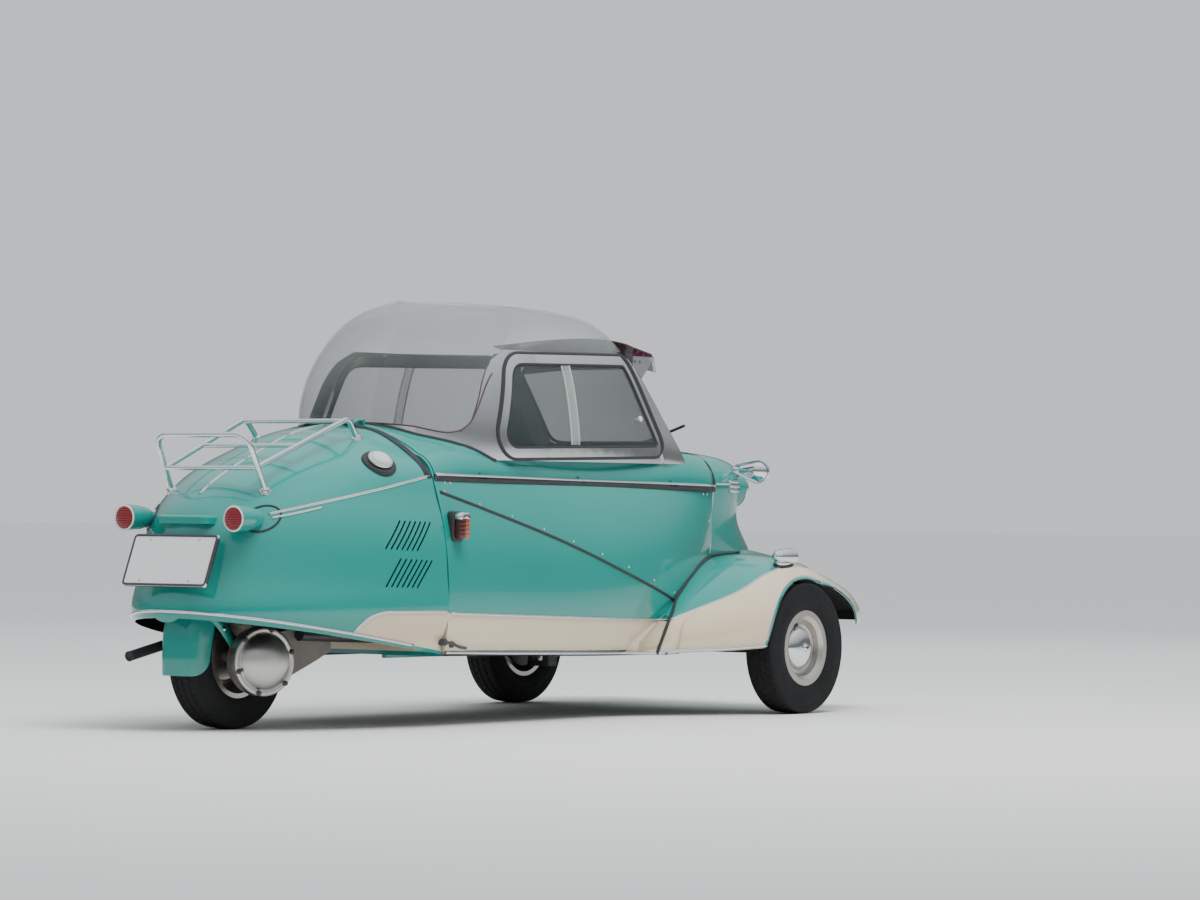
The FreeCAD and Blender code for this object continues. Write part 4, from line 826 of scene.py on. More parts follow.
# The sun visor is a bent sheet of dark maroon acrylic on a plated steel bracket at each pillar,
# held by three screws and a wing nut. The brackets lie outside |x| 231 mm and under z 1.085.
visor = new_finish("maroon_visor")
x, y, z = visor.axes()
bracket = (abs(x) > 0.2312) * (z < 1.085)
maroon = visor.mixed(visor.noise(9), (0.075, 0.012, 0.028), (0.11, 0.02, 0.045))
visor.look({"Base Color": visor.mixed(bracket, maroon, (0.72, 0.74, 0.76)), "Metallic": bracket,
            "Roughness": bracket * 0.18 + 0.08, "Alpha": bracket * 0.1 + 0.9})
coated(visor, "sun_visor")
dark_screw = moulded_rubber("dark_screws", (0.03, 0.03, 0.035), 0.35)
screws = [turned_piece("screw", [(-0.001, 0), (-0.001, 0.004), (0.001, 0.004), (0.0022, 0.0025), (0.0024, 0)],
                       (side * 0.2551, y, z), (side, 0, 0), 12)
          for side in (1, -1) for y, z in ((-0.452, 1.098), (-0.480, 1.088), (-0.462, 1.068))]
finished(joined("visor_screws", screws), dark_screw, "canopy")

# Cross-ply tyres with a zigzag block tread, moulded in one with their bulging side walls.
WHEELS = [("front_left", 0.540, -0.890, "wheel_fl"), ("front_right", -0.540, -0.890, "wheel_fr"),
          ("rear", 0.0, 1.140, "wheel_rear")]
BEAD_RADIUS = 0.1075


def tread_depth(across, turns):
    """Depth cut into the tread: three zigzag grooves round it, and short slits between them that
    alternate from rib to rib. across and turns (in turns of the wheel) give the place."""
    wave = np.abs((turns * 52) % 1 - 0.5) * 2 - 0.5
    depth = np.zeros_like(across + turns)
    for middle in (-0.0225, 0.0, 0.0225):
        away = np.abs(across - middle - wave * 0.0050)
        depth = np.maximum(depth, 0.0042 * np.clip((0.0026 - away) / 0.0008, 0, 1))
    rib = np.floor((across + 0.0450) / 0.0225) % 2
    slit = np.abs(((turns * 52 + 0.5 * rib) % 1) - 0.5)
    depth = np.maximum(depth, 0.0032 * np.clip((0.09 - slit) / 0.04, 0, 1) * (np.abs(across) < 0.041))
    return depth


def tyre_grid(middle_x, middle_y):
    """Rows round the tyre, columns from one bead over the tread to the other. The side wall is a
    bulge between bead and shoulder with two raised rings."""
    wall = np.array([(0.0370, BEAD_RADIUS), (0.0385, 0.1110), (0.0415, 0.1150), (0.0452, 0.1210),
                     (0.0482, 0.1290), (0.0500, 0.1380), (0.0506, 0.1480), (0.0506, 0.1520),
                     (0.0512, 0.1530), (0.0512, 0.1550), (0.0506, 0.1560), (0.0506, 0.1640),
                     (0.0502, 0.1730), (0.0496, 0.1800), (0.0493, 0.1815), (0.0496, 0.1830),
                     (0.0488, 0.1880), (0.0472, 0.1930), (0.0450, 0.1962)])
    tread_x = np.linspace(0.0430, -0.0430, 57)
    tread = np.stack([tread_x, 0.2010 - 0.0030 * (tread_x / 0.043) ** 2], axis=1)
    outline = np.concatenate([wall, tread, wall[::-1] * (-1, 1)])
    turns = np.arange(312)[:, None] / 312
    radius = outline[None, :, 1] - tread_depth(outline[None, :, 0], turns) * (outline[None, :, 1] > 0.1975)
    angle = 2 * np.pi * turns
    x = np.broadcast_to(middle_x + outline[None, :, 0], radius.shape)
    return np.stack([x, middle_y + radius * np.sin(angle), AXLE_HEIGHT + radius * np.cos(angle)], axis=-1)


tyre_rubber = moulded_rubber("tyre_rubber", (0.0075, 0.0075, 0.008), 0.75).look({"Specular IOR Level": 0.25})
for wheel_name, middle_x, middle_y, body in WHEELS:
    tyre = faced_out(surface("tyre_" + wheel_name + "_tread", tyre_grid(middle_x, middle_y), around_u=True,
                             around_v=True))
    finished(tyre, tyre_rubber, body)
    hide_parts("tyre_" + wheel_name)

# Pressed steel rims sprayed silver, with an oval valve hole, and a chromed hub cap with a
# slotted nut at its middle on each front wheel; a thin black disc on the nut is painted shade in
# its slot.
silver_paint = plated("silver_rim", (0.56, 0.53, 0.49), 0.30)
coated(silver_paint, "rim_front_left", "rim_front_right", "rim_rear")
chrome = plated("bright_plating", roughness=0.1)
CAP_OUTLINE = [(0.0, 0.0640), (0.003, 0.0650), (0.006, 0.0640), (0.012, 0.0590), (0.018, 0.0500),
               (0.023, 0.0380), (0.0255, 0.0280), (0.0262, 0.0200), (0.0268, 0.0125), (0.0275, 0.0115),
               (0.0330, 0.0110), (0.0345, 0.0095), (0.0345, 0.0)]
for wheel_name, middle_x, middle_y, body in WHEELS[:2]:
    side = np.sign(middle_x)
    outline = [(a + 0.0143, r) for a, r in [(0.0, 0.0), *CAP_OUTLINE]]
    cap = turned_piece("hub_cap_" + wheel_name, outline, (middle_x, middle_y, AXLE_HEIGHT), (side, 0, 0), 64)
    finished(cap, chrome, body)
    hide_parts("hub_cap_" + wheel_name[6:])
    # A thin black disc on the nut's face: painted shade in the slot's recess.
    slot_shade_disc = turned_piece("cap_slot_shade", [(0.0480, 0), (0.0480, 0.0056), (0.0492, 0.0050), (0.0492, 0)],
                             (middle_x, middle_y, AXLE_HEIGHT), (side, 0, 0), 6)
    valve = turned_piece("valve", [(0.0150, 0), (0.0150, 0.0095), (0.0205, 0.0088), (0.0210, 0.0045),
                                   (0.0280, 0.0035), (0.0280, 0)], (middle_x, middle_y + 0.024,
                                                                    AXLE_HEIGHT + 0.0715), (side, 0, 0), 20)
    finished(joined("valve_" + wheel_name, [slot_shade_disc, valve]), rubber, body)

# The chain case ends in a cast aluminium hub cover, turned with the case, under six dark bolts.
cast = plated("cast_aluminium", (0.60, 0.585, 0.56), 0.34)
coated(moulded_rubber("case_grime", (0.13, 0.115, 0.10), 0.5), "swing_arm")
COVER_MIDDLE, COVER_YAW, BOLT_CIRCLE = np.array([-0.1343, 1.144, 0.191]), np.radians(18), 0.0895
cover_out = np.array([-np.cos(COVER_YAW), np.sin(COVER_YAW), 0])
cover_back = np.array([np.sin(COVER_YAW), np.cos(COVER_YAW), 0])
cover = turned_piece("hub_cover_dish",
                     [(-0.028, 0), (-0.028, 0.0960), (0.0070, 0.0965), (0.0095, 0.0955), (0.0095, 0.0835),
                      (0.0080, 0.0820),
                                        (0.0085, 0.0800), (0.0130, 0.0785), (0.0190, 0.0755),
                      (0.0255, 0.0705), (0.0320, 0.0635),
                                        (0.0380, 0.0545), (0.0430, 0.0440), (0.0465, 0.0330),
                      (0.0490, 0.0215), (0.0502, 0.0100),
                                        (0.0505, 0)], COVER_MIDDLE, cover_out, 96)
finished(cover, cast, "body")
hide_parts("hub_cover")
bolts = []
for angle in np.radians(13 + 60 * np.arange(6)):
    spoke = np.cos(angle) * np.array([0, 0, 1]) - np.sin(angle) * cover_back
    place = COVER_MIDDLE + BOLT_CIRCLE * spoke + cover_out * 0.0108
    bolts.append(turned_piece("bolt", [(-0.001, 0), (-0.001, 0.0078), (0.001, 0.0078), (0.0014, 0.0066),
                                       (0.0052, 0.0066), (0.0064, 0.0052), (0.0064, 0)], place, cover_out,
                              12))
finished(joined("hub_cover_bolts", bolts), dark_screw, "body")

# Tail lamps: a ribbed red lens in a pale bezel at the end of each turquoise pod, and a thin black
# gasket where the pod meets the tail.
def lens_look(name, deep, light, ribs, coat=0.8, rear=None):
    """Moulded lens plastic with fine ribs on z: painted shade in the grooves and a painted highlight on
    the ribs, with the same ribs as a bump. Given a rear colour, the part behind y 0.628 is that, smooth."""
    lens = new_finish(name)
    x, y, z = lens.axes()
    rib = (z * (ribs * 2 * np.pi)).step("SINE")
    # A sine of z: painted shade in the grooves, painted highlight on the ribs.
    shade = lens.mixed(rib * 0.5 + 0.5, deep, light)
    if rear:
        behind = ((y * 250.0 + (0.5 - 0.628 * 250)) | 0.0).step("MINIMUM", 1.0)
        shade = lens.mixed(behind, shade, rear)
    return lens.look({"Base Color": shade, "Roughness": 0.12, "Coat Weight": coat}).bumped(rib, 0.4, 0.001)


def bowed(radius, low, rise, count=9):
    """A lens's face from its rim to its middle: a parabola that rises from low."""
    return [(low + rise * (1 - (r / radius) ** 2), r) for r in np.linspace(radius, 0, count)]


# Dark red is painted shade in the lens's grooves, light red a painted highlight on its ribs.
red_plastic = lens_look("red_lens", (0.11, 0.0, 0.003), (0.30, 0.001, 0.008), 160.0, coat=0.1)
pale_bezel = lacquer("pale_bezel", (0.80, 0.72, 0.66), 0.25)
tail_skin = skin_of("tail_shell")
bezels, gaskets, lenses = [], [], []
for side in (-1, 1):
    middle = (side * 0.199, 1.352, 0.587)
    bezels.append(turned_piece("bezel", [(-0.004, 0.0305), (0.0005, 0.0312), (0.0025, 0.0325),
                                         (0.0022, 0.0346), (0.0, 0.0366), (-0.006, 0.0368),
                                         (-0.006, 0.0305)], middle, (0, 1, 0), 48))
    ring = [(middle[0] + 0.0365 * np.cos(angle), 1.6, 0.587 + 0.0365 * np.sin(angle))
            for angle in np.linspace(0, 2 * np.pi, 80, endpoint=False)]
    path, normals = laid_on(tail_skin, ring, (0, -1, 0))
    gaskets.append(swept("pod_gasket", rounded(path, 3), rounded(normals, 6), half_round(0.006, 0.0028),
                         True))
    lenses.append(turned_piece("lens", [(-0.003, 0), (-0.003, 0.0306)] + bowed(0.0306, 0.001, 0.0080),
                               middle, (0, 1, 0), 48))
red_lenses = finished(joined("tail_lamp_lenses", lenses), red_plastic, "tail")
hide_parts("tail_lenses")
finished(joined("tail_lamp_bezels", bezels), pale_bezel, "tail")
finished(joined("tail_lamp_gaskets", gaskets), rubber, "tail")

# Headlamps: turquoise pods with a chromed rim and a fluted glass that bows out.
clear_lens = clear_pane("headlamp_glass", (0.75, 0.80, 0.82), 0.45, 0.9)
rims, lenses = [], []
for side in (-1, 1):
    middle = (side * 0.166, -1.0865, 0.690)
    rims.append(turned_piece("rim", [(-0.001, 0.0520), (0.004, 0.0525), (0.0075, 0.0555), (0.0065, 0.0600),
                                     (0.002, 0.0628), (-0.006, 0.0635), (-0.008, 0.0620), (-0.001, 0.0600)],
                             middle, (0, -1, 0), 56))
    lenses.append(turned_piece("lens", [(0.0005, 0), (0.0005, 0.0525)] + bowed(0.0525, 0.0025, 0.011),
                               middle, (0, -1, 0), 56))
finished(joined("headlamp_rims", rims), chrome, "body")
finished(joined("headlamp_glasses", lenses), clear_lens, "body")

# Fender lamps: plated bullets with an amber lens in front. Flank lamps: a plated hood over a
# ribbed amber lens on a black rubber pad.
coated(chrome, "fender_lamps", "luggage_rack", "mirror")
# Dark amber is painted shade in the grooves, light amber a painted highlight on the ribs.
amber = lens_look("amber_lens", (0.22, 0.018, 0.004), (0.62, 0.10, 0.012), 90.0)
lenses = [turned_piece("lens", [(0, 0), (0, 0.0225)] + bowed(0.0225, 0.004, 0.010, 7),
                       (side * 0.526, -0.8905, 0.480), (0, -1, 0), 32) for side in (1, -1)]
finished(joined("fender_lamp_lenses", lenses), amber, "body")

pads, skirts = [], []
lamp_skin = skin_of("fender_right", "fender_left")
round_it = np.linspace(0, 2 * np.pi, 56, endpoint=False)
for side in (1, -1):
    middle = np.array([side * 0.526, -0.846, 0.0])
    oval = np.stack([0.0205 * np.cos(round_it), 0.0410 * np.sin(round_it), np.zeros(56)], axis=1)
    path, normals = laid_on(lamp_skin, middle + oval + (0, 0, 2), (0, 0, -1))
    foot = rounded(path[:, 2], 2)[:, None] * (0, 0, 1)
    for parts, name, low, high, grow in ((pads, "pad", -0.003, 0.0045, 1.06),
                                         (skirts, "skirt", 0.003, None, 0.97)):
        bottom = middle + oval * grow + foot + (0, 0, low)
        lip = middle + oval * grow + (foot + (0, 0, high) if high else (0, 0, 0.471))
        ends = [np.tile(ring.mean(axis=0), (56, 1)) for ring in (bottom, lip)]
        parts.append(faced_out(surface(name, np.array([ends[0], bottom, lip, ends[1]]), around_v=True)))
finished(joined("fender_lamp_pads", pads), rubber, "body")
finished(joined("fender_lamp_skirts", skirts), chrome, "body")

FLANK_LAMP = [(0.6035, 0.529, 0.012), (0.6485, 0.529, 0.012), (0.6485, 0.609, 0.014), (0.6035, 0.609, 0.014)]
HOOD = [(0.6035, 0.589, 0.003), (0.6485, 0.589, 0.003), (0.6485, 0.609, 0.014), (0.6035, 0.609, 0.014)]


def swollen_pair(name, corners, base_x, layers):
    """A stack of rounded outlines (x outwards, grow) on each flank, closed by centre points."""
    rings = []
    for out, grow in layers:
        outline = rounded_outline(corners, max(grow, -0.0105), 0.004)
        pick = np.linspace(0, len(outline), 64, endpoint=False).astype(int)
        rings.append([(base_x + out, y, z) for y, z in outline[pick]])
    poles = [[tuple(np.mean(ring, axis=0))] * 64 for ring in (rings[0], rings[-1])]
    grid = np.array([poles[0], *rings, poles[1]])
    return joined(name, [faced_out(surface(name + "_half", grid * (side, 1, 1),
                                           around_v=True)) for side in (1, -1)])


flank_lens = swollen_pair("flank_lamp_lenses", FLANK_LAMP, 0.4400,
                          [(-0.050, -0.004), (-0.0205, -0.004), (-0.0015, -0.0045),
                                                                    (0.0005, -0.007), (0.0015, -0.0105)])
# Its grooves are painted darker as shade and its ribs lighter as highlight.
two_tone_lens = lens_look("flank_lamp_lens", (0.26, 0.030, 0.004), (0.50, 0.085, 0.010), 85.0,
                          rear=(0.060, 0.004, 0.003))
finished(flank_lens, two_tone_lens, "body")
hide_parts("side_lamps")
flank_pads = swollen_pair("flank_lamp_pads", FLANK_LAMP, 0.4130,
                          [(-0.030, 0.003), (-0.004, 0.003), (0.001, 0.001),
                                                                  (0.001, -0.004)])
finished(flank_pads, rubber, "body")
hoods = swollen_pair("flank_lamp_hoods", HOOD, 0.4400,
                     [(-0.030, -0.0015), (-0.0205, 0.0005), (-0.001, 0.0002),
                                                        (0.0015, -0.003), (0.0025, -0.006)])
finished(hoods, chrome, "body")

# The plate is a blank sprayed panel in a dark beaded frame, screwed on at its four holes.
coated(lacquer("plate_white", (0.80, 0.80, 0.79), 0.35), "number_plate")
PLATE_MIDDLE, PLATE_TILT = np.array([0, 1.380, 0.469]), np.radians(22)
plate_out = np.array([0, np.cos(PLATE_TILT), np.sin(PLATE_TILT)])
plate_up = np.array([0, -np.sin(PLATE_TILT), np.cos(PLATE_TILT)])
outline = rounded_outline([(-0.1525, -0.076, 0.012), (0.1525, -0.076, 0.012), (0.1525, 0.076, 0.012),
                           (-0.1525, 0.076, 0.012)],
                          -0.0035, 0.006)
path = PLATE_MIDDLE + outline[:, :1] * np.array([1, 0, 0]) + outline[:, 1:] * plate_up + plate_out * 0.0045
bead = swept("plate_frame", path, np.tile(plate_out, (len(path), 1)), half_round(0.0090, 0.0045, 0.0060),
             True)
finished(bead, dark_screw, "tail")
SCREW = [(-0.003, 0), (-0.003, 0.0032), (0.0, 0.0034), (0.0, 0.0058), (0.0018, 0.0052), (0.0028, 0.003),
         (0.0028, 0)]
screws = [turned_piece("screw", SCREW, PLATE_MIDDLE + (x, 0, 0) + plate_up * up + plate_out * 0.0052,
                       plate_out, 20)
          for x in (-0.089, 0.089) for up in (-0.0605, 0.0605)]
finished(joined("plate_screws", screws), chrome, "tail")

# The rack's tubes end in small plated feet, each clamped to the tail by one nut.
feet = []
for start, aim in (((0.168, 1.262, 0.819), (0.172, 1.174, 0.640)),
                   ((0.190, 0.851, 0.871), (0.182, 0.782, 0.790))):
    for side in (1, -1):
        way = (np.array(aim) - start) * (side, 1, 1)
        place, normal = met(tail_skin, np.array(start) * (side, 1, 1), way / np.linalg.norm(way))
        feet.append(turned_piece("foot", [(-0.004, 0), (-0.004, 0.0165), (0.002, 0.0165), (0.0035, 0.0150),
                                          (0.0060, 0.0115), (0.0120, 0.0105), (0.0130, 0)], place, normal,
                                 28))
finished(joined("rack_feet", feet), chrome, "tail")

# The fuel cap is a plated screw cap with a bowed glass top, on a wide black rubber collar.
CAP_SEAT, CAP_AXIS = np.array([-0.2982, 0.8443, 0.7457]), np.array([-0.584, 0.202, 0.786])
collar = turned_piece("fuel_cap_collar",
                      [(-0.012, 0), (-0.012, 0.0520), (0.0, 0.0520), (0.0045, 0.0490), (0.0060, 0.0440),
                                          (0.0060, 0)], CAP_SEAT, CAP_AXIS, 56)
finished(collar, rubber, "tail")
cap = turned_piece("fuel_cap_bowl", [(-0.006, 0), (-0.006, 0.0330), (0.0060, 0.0330), (0.0065, 0.0370),
                                     (0.0150, 0.0370), (0.0175, 0.0350), (0.0185, 0.0310), (0.0185, 0)],
                   CAP_SEAT, CAP_AXIS, 56)
finished(cap, chrome, "tail")
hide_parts("fuel_cap")
top = turned_piece("fuel_cap_glass", [(0.0182, 0), (0.0182, 0.0300), (0.0200, 0.0300), (0.0235, 0.0220),
                                      (0.0250, 0.0120), (0.0252, 0)], CAP_SEAT, CAP_AXIS, 48)
finished(top, clear_pane("fuel_cap_glass", (0.78, 0.80, 0.80), 0.5, 0.85), "tail")

# The mirror's silvered glass fills the egg-shaped mouth of its plated bowl.
MIRROR_MIDDLE = np.array([-0.290, -0.994, 0.745])
yaw, tip = np.radians(14), np.radians(-6)
yaw_turn = np.array([[np.cos(yaw), -np.sin(yaw), 0], [np.sin(yaw), np.cos(yaw), 0], [0, 0, 1]])
tip_turn = np.array([[np.cos(tip), 0, np.sin(tip)], [0, 1, 0], [-np.sin(tip), 0, np.cos(tip)]])


def egg(shrink, back, count=72):
    """Outline round two circles, the wide one outboard: for each direction, the farther support
    point of the two circles shrunk by an even margin."""
    angles = np.linspace(0, 2 * np.pi, count, endpoint=False)
    big, small = 0.037 - shrink, 0.017 - shrink
    switch = np.arccos((0.037 - 0.017) / 0.066)
    near = np.abs((angles + np.pi) % (2 * np.pi) - np.pi) < switch
    x = np.where(near, 0.033 + small * np.cos(angles), -0.033 + big * np.cos(angles))
    z = np.where(near, small * np.sin(angles), big * np.sin(angles))
    local = np.stack([x, np.full(count, back), z], axis=1)
    return MIRROR_MIDDLE + local @ (yaw_turn @ tip_turn).T


silver = plated("mirror_silver", (0.86, 0.87, 0.88), 0.02)
poles = [np.tile(egg(0.016, back).mean(axis=0), (72, 1)) for back in (-0.001, 0.0014)]
grid = np.array([poles[0], egg(0.0036, -0.001), egg(0.0036, 0.0012), poles[1]])
finished(faced_out(surface("mirror_glass", grid, around_v=True)), silver, "body")
ring = egg(0.0018, 0.0)
mirror_facing = yaw_turn @ tip_turn @ np.array([0, 1.0, 0])
bead = swept("mirror_rim", ring, np.tile(mirror_facing, (72, 1)), half_round(0.0046, 0.0030, 0.001), True)
finished(bead, chrome, "body")


# One wiper arm with its rubber blade parks on the right, off the foot of the windscreen.
def tube_piece(name, corners, radius, count=24, steps=12):
    """A round tube along a smooth line through the corners."""
    path = resampled(corners, count)
    lean = np.tile((0.31, 0.17, 0.93), (count, 1))
    along = np.gradient(path, axis=0)
    along /= np.linalg.norm(along, axis=1)[:, None]
    normals = lean - along * np.sum(lean * along, axis=1)[:, None]
    normals /= np.linalg.norm(normals, axis=1)[:, None]
    angles = np.linspace(0, 2 * np.pi, steps, endpoint=False)
    ring = np.stack([np.cos(angles) * radius, np.sin(angles) * radius], axis=1)
    return swept(name, path, normals, ring)


arm = tube_piece("arm", [(-0.015, -0.742, 0.792), (-0.030, -0.762, 0.806), (-0.100, -0.768, 0.838),
                         (-0.150, -0.757, 0.852)], 0.0034)
pivot = turned_piece("pivot", [(-0.012, 0), (-0.012, 0.011), (0.010, 0.011), (0.014, 0.007), (0.014, 0)],
                     (-0.015, -0.735, 0.790), (0, -0.75, 0.66), 24)
finished(joined("wiper_arm", [arm, pivot]), chrome, "canopy")
blade = tube_piece("wiper_blade", [(-0.055, -0.735, 0.820), (-0.150, -0.733, 0.852),
                                   (-0.235, -0.728, 0.880)], 0.0045)
finished(blade, rubber, "canopy")

# Over-centre catches hold the tail down low on each flank: a black lever, a hook and its plate.
LEVER = np.array([(-0.4165, 0.690, 0.242), (-0.4205, 0.664, 0.240), (-0.4195, 0.628, 0.229),
                  (-0.4150, 0.590, 0.2245)])
catches = []
for side in (1, -1):
    catches.append(tube_piece("lever", LEVER * (side, 1, 1), 0.0045))
    for y, z, reach in ((0.684, 0.243, 0.014), (0.652, 0.236, 0.016)):
        catches.append(turned_piece("boss", [(-0.020, 0), (-0.020, 0.010), (0.004, 0.010), (0.007, 0.007),
                                             (0.007, 0)],
                                    (-0.4120 * side, y, z), (-side, 0, 0), 16))
finished(joined("tail_catches", catches), dark_screw, "body")

# The exhaust tip is rolled back on itself round its bore, which a black disc just inside the lip
# closes: soot, and painted shade of the deep pipe.
coated(moulded_rubber("exhaust_black", (0.028, 0.027, 0.026), 0.45), "exhaust_pipe")
pipe_way = np.array([0, 159, -32.0]) / np.hypot(159, 32)
tip_ring = turned_piece("exhaust_tip",
                        [(-0.004, 0.0141), (0.005, 0.0148), (0.0065, 0.0135), (0.005, 0.0118),
                         (0.0004, 0.0115),
                                        (0.0004, 0), (-0.004, 0)], (0.140, 1.389, 0.204), pipe_way, 32)
finished(tip_ring, rubber, "body")

# The rear guard is a pan pressed from sheet behind the tyre, its edges turned forward and its lower
# corners round. A bent flat stay bolts it to the arm on each side.
GUARD_HALF, GUARD_TURN, GUARD_SHEET = 0.064, 0.028, 0.0016


def guard_ring(height):
    """One level cut of the pan: flat back, quarter turns, then the edges run forward. The developed
    half width grows from the round lower corner (quarter of an ellipse) to the full flange."""
    rise = np.clip((height - 0.152) / 0.050, 0, 1)
    half = 0.050 + 0.076 * np.sqrt(1 - (1 - rise) ** 2) + 0.010 * np.clip((height - 0.202) / 0.060, 0, 1)
    back = np.interp(height, [0.152, 0.200, 0.260, 0.320, 0.372], [1.359, 1.360, 1.357, 1.346, 1.326])
    flat, bend = GUARD_HALF - GUARD_TURN, GUARD_TURN * np.pi / 2
    run = np.linspace(0, half, 28)
    angle = np.clip((run - flat) / GUARD_TURN, 0, np.pi / 2)
    past = np.maximum(run - flat - bend, 0)
    cuts = []
    for radius in (GUARD_TURN, GUARD_TURN - GUARD_SHEET):
        x = np.minimum(run, flat) + radius * np.sin(angle)
        y = back - (GUARD_TURN - radius) - radius * (1 - np.cos(angle)) - past
        cuts.append(np.stack([x, y, np.full(28, height)], axis=1))
    outside, inner = cuts
    flip = np.array([-1, 1, 1])
    return np.concatenate([outside[::-1] * flip, outside[1:], inner[::-1], inner[1:] * flip])


heights = np.concatenate([0.152 + 0.050 * (1 - np.cos(np.linspace(0, np.pi / 2, 14))),
                          np.linspace(0.207, 0.372, 16)])
guard = faced_out(surface("rear_guard_pan", np.array([guard_ring(height) for height in heights]),
                          around_v=True, caps=True))
finished(guard, panel_paint, "body")
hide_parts("rear_mudguard")
stay = resampled([(-0.0660, 1.346, 0.338), (-0.0670, 1.310, 0.329), (-0.0685, 1.268, 0.306),
                  (-0.0705, 1.228, 0.270), (-0.0720, 1.190, 0.228)], 24)
stays = both_sides("guard_stay", stay, np.tile((-1.0, 0, 0), (24, 1)),
                   [(-0.016, 0), (0.016, 0), (0.016, 0.002), (-0.016, 0.002)])
finished(stays, panel_paint, "body")
stay_bolts = [turned_piece("bolt", [(0, 0), (0, 0.0075), (0.0045, 0.0070), (0.0060, 0.0045), (0.0060, 0)],
                           (side * 0.0725, 1.240, 0.281), (side, 0, 0), 6) for side in (1, -1)]
finished(joined("guard_stay_bolts", stay_bolts), chrome, "body")

# Running gear and engine: black enamel on the axle, frame, knuckles and engine block.
coated(moulded_rubber("black_enamel", (0.02, 0.02, 0.022), 0.4), "front_axle", "rear_subframe",
       "knuckle_left", "knuckle_right", "engine_block")
coated(moulded_rubber("belt_rubber", (0.035, 0.035, 0.038), 0.35), "belt_rails")

# The dash is a black crackle panel with a round speedometer and two knobs; the steering bar is
# cream enamel with black rubber grips.
coated(moulded_rubber("black_crackle", (0.022, 0.022, 0.024), 0.6), "dash_panel")
coated(lacquer("cream_enamel", (0.62, 0.53, 0.38), 0.3), "steering_bar")
grips = [tube_piece("grip", [(side * 0.1915, -0.4488, 0.7053), (side * 0.160, -0.4658, 0.6862),
                             (side * 0.128, -0.4832, 0.6668)], 0.0160, 12, 20)
         for side in (1, -1)]
finished(joined("steering_grips", grips), rubber, "steering")
dash_skin = skin_of("dash_panel")
dial_seat, dial_out = met(dash_skin, (0, 0, 0.690), (0, -1, 0))
dial_up = np.cross((-1.0, 0, 0), dial_out)
bezel = turned_piece("bezel", [(-0.004, 0), (-0.004, 0.0410), (0.005, 0.0410), (0.0075, 0.0385),
                               (0.0070, 0.0350), (0.0035, 0.0345), (0.0035, 0)], dial_seat, dial_out, 48)
knobs = []
for across in (-0.105, 0.105):
    seat = met(dash_skin, (across, 0, 0.680), (0, -1, 0))[0]
    knobs.append(turned_piece("knob", [(-0.004, 0), (-0.004, 0.0060), (0.008, 0.0060), (0.009, 0.0105),
                                       (0.015, 0.0110), (0.018, 0.0080), (0.0185, 0)], seat, dial_out, 24))
finished(joined("dash_bright_parts", [bezel] + knobs), chrome, "body")
dial = turned_piece("speedometer_face", [(0.0030, 0), (0.0030, 0.0346), (0.0042, 0.0346), (0.0042, 0)],
                    dial_seat, dial_out, 48)
finished(dial, dark_screw, "body")
lines_on_dial = [(0.0042, (np.cos(angle), np.sin(angle)), (0.026, 0.029, 0.032), 0.0007)
                 for angle in np.radians(225 - 270 * np.arange(13) / 12)]
lines_on_dial.append((0.0046, (-0.70, -0.70), (-0.006, 0.010, 0.026), 0.0008))
marks = []
for out, (across, up), reaches, radius in lines_on_dial:
    spoke = across * np.array([1.0, 0, 0]) + up * dial_up
    marks.append(tube_piece("mark", [dial_seat + dial_out * out + spoke * r for r in reaches], radius, 3, 6))
finished(joined("speedometer_marks", marks), pale_bezel, "body")

# Seats: a sprung cushion and back each, in tan leathercloth with sewn channels and piped edges,
# over a plain base. The pads swell as cloth under pressure.
def leathercloth(name, colour):
    """Grained leathercloth: a pebble pattern of cells for the bump, and soft drifts of colour."""
    hide = new_finish(name)
    shade = hide.mixed(hide.noise(7), [c * 0.8 for c in colour], [c * 1.15 for c in colour])
    hide.look({"Base Color": shade, "Roughness": 0.52, "Sheen Weight": 0.15})
    return hide.bumped(hide.made("TexVoronoi", "Distance", {"Vector": hide.place, "Scale": 380}), 0.3, 0.0008)


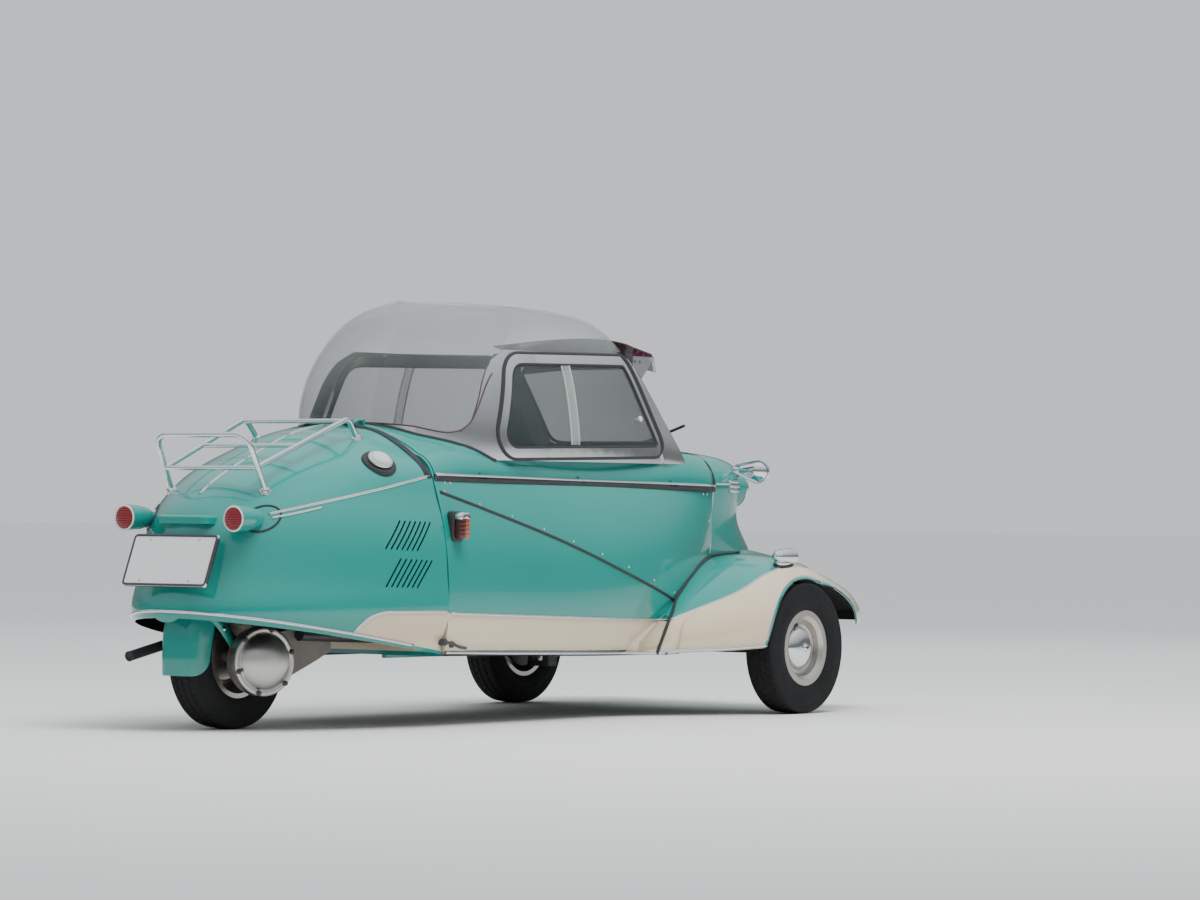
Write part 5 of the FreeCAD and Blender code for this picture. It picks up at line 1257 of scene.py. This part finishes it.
def stuffed(name, size, middle, lean, channels, swell=0.010):
    """A pad of a size (wide, deep, thick) turned by a lean about X. A rounded block is blown up as
    cloth under pressure, no point moving over the swell, and its upper face is then pulled down
    along the channels: a bell curve of the distance from each."""
    wide, deep, thick = (length - 2 * swell for length in size)
    block_mesh = bpy.data.meshes.new(name + "_block")
    form = bmesh.new()
    bmesh.ops.create_cube(form, size=1.0)
    bmesh.ops.scale(form, vec=(wide, deep, thick), verts=form.verts)
    bmesh.ops.bevel(form, geom=form.edges[:], offset=min(size) * 0.28, segments=4, affect="EDGES",
                    profile=0.5)
    form.to_mesh(block_mesh)
    form.free()
    pad = bpy.data.objects.new(name, block_mesh)
    bpy.context.scene.collection.objects.link(pad)
    remesh = pad.modifiers.new("even_mesh", "REMESH")
    remesh.mode = "VOXEL"
    remesh.voxel_size = 0.010
    bpy.context.view_layer.update()
    even = bpy.data.meshes.new_from_object(pad.evaluated_get(bpy.context.evaluated_depsgraph_get()))
    pad.modifiers.clear()
    pad.data = even
    still = np.zeros(len(even.vertices) * 3)
    even.vertices.foreach_get("co", still)
    still = still.reshape(-1, 3)
    places = still
    cloth = pad.modifiers.new("cloth", "CLOTH")
    cloth.settings.use_pressure = True
    cloth.settings.uniform_pressure_force = 4.0
    cloth.settings.effector_weights.gravity = 0.0
    cloth.settings.quality = 4
    cloth.point_cache.frame_end = 14
    for step in range(1, 15):
        bpy.context.scene.frame_set(step)
    blown = pad.evaluated_get(bpy.context.evaluated_depsgraph_get())
    places = np.zeros(len(even.vertices) * 3)
    blown.data.vertices.foreach_get("co", places)
    places = places.reshape(-1, 3)
    bpy.context.scene.frame_set(1)
    pad.modifiers.clear()
    moved = places - still
    far = np.linalg.norm(moved, axis=1)[:, None]
    places = still + moved * np.minimum(1, swell / np.maximum(far, 1e-9))
    crown = np.cos(np.clip(places[:, 0] / wide, -0.5,
                           0.5) * np.pi) * np.cos(np.clip(places[:, 1] / deep, -0.5, 0.5) * np.pi)
    upper = np.clip(places[:, 2] / (thick / 2), 0, 1) ** 2
    places[:, 2] += upper * crown * thick * 0.06
    for channel in channels:
        bell = np.exp(-((places[:, 0] - channel) / 0.007) ** 2)
        places[:, 2] -= upper * bell * 0.010
    tilt = np.array([[1, 0, 0], [0, np.cos(lean), -np.sin(lean)], [0, np.sin(lean), np.cos(lean)]])
    places = places @ tilt.T + np.array(middle)
    even.vertices.foreach_set("co", places.ravel())
    even.polygons.foreach_set("use_smooth", np.full(len(even.polygons), True))
    even.update()
    border = rounded_outline([(-wide / 2, -deep / 2, 0.05), (wide / 2, -deep / 2, 0.05),
                              (wide / 2, deep / 2, 0.05), (-wide / 2, deep / 2, 0.05)], swell * 0.55, 0.012)
    line_points = np.concatenate([border, np.full((len(border), 1), thick * 0.30)],
                                 axis=1) @ tilt.T + np.array(middle)
    skin = BVHTree.FromPolygons(places.tolist(), [list(face.vertices) for face in even.polygons])
    on_pad = rounded([skin.find_nearest(Vector(point))[0] for point in line_points], 4)
    angles = np.linspace(0, 2 * np.pi, 8, endpoint=False)
    ring = np.stack([np.cos(angles), np.sin(angles)], axis=1) * 0.0042
    cord = swept(name + "_piping", on_pad, np.tile(tilt @ (0, 0, 1.0), (len(border), 1)), ring, True)
    return pad, cord


tan_hide = leathercloth("tan_leathercloth", (0.33, 0.235, 0.15))
dark_hide = leathercloth("brown_piping", (0.10, 0.065, 0.045))
base_paint = lacquer("seat_base_grey", (0.10, 0.10, 0.10), 0.45)
for seat_name, half_width, cushion, back, base, count in (
        ("front_seat", 0.213, ((0.40, 0.105), (-0.057, 0.375), -0.077),
         ((0.335, 0.062), (0.178, 0.560), 1.409),
         [(-0.245, 0.301), (-0.245, 0.322), (0.130, 0.322), (0.205, 0.690), (0.213, 0.702), (0.241, 0.702),
          (0.247, 0.690), (0.232, 0.301)], 5),
        ("rear_seat", 0.278, ((0.27, 0.105), (0.430, 0.377), -0.115), ((0.35, 0.055), (0.583, 0.572), 1.448),
         [(0.305, 0.301), (0.305, 0.322), (0.565, 0.322), (0.600, 0.706), (0.610, 0.720), (0.632, 0.720),
          (0.640, 0.706), (0.635, 0.301)], 7)):
    channels = np.linspace(-half_width, half_width, count + 2)[1:-1] * 0.9
    for part, ((deep, thick), (y, z), lean) in (("cushion", cushion), ("backrest", back)):
        pad, cord = stuffed(seat_name + "_" + part, (2 * half_width - 0.02, deep, thick), (0, y, z), lean,
                            channels)
        finished(pad, tan_hide, "body")
        finished(cord, dark_hide, "body")
        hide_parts(seat_name)
    grid = np.array([[(side * half_width * 0.9, y, z) for y, z in base] for side in (-1, 1)])
    pan = faced_out(surface(seat_name + "_base", grid, around_v=True, caps=True, smooth=False))
    finished(pan, base_paint, "body")

low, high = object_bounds()
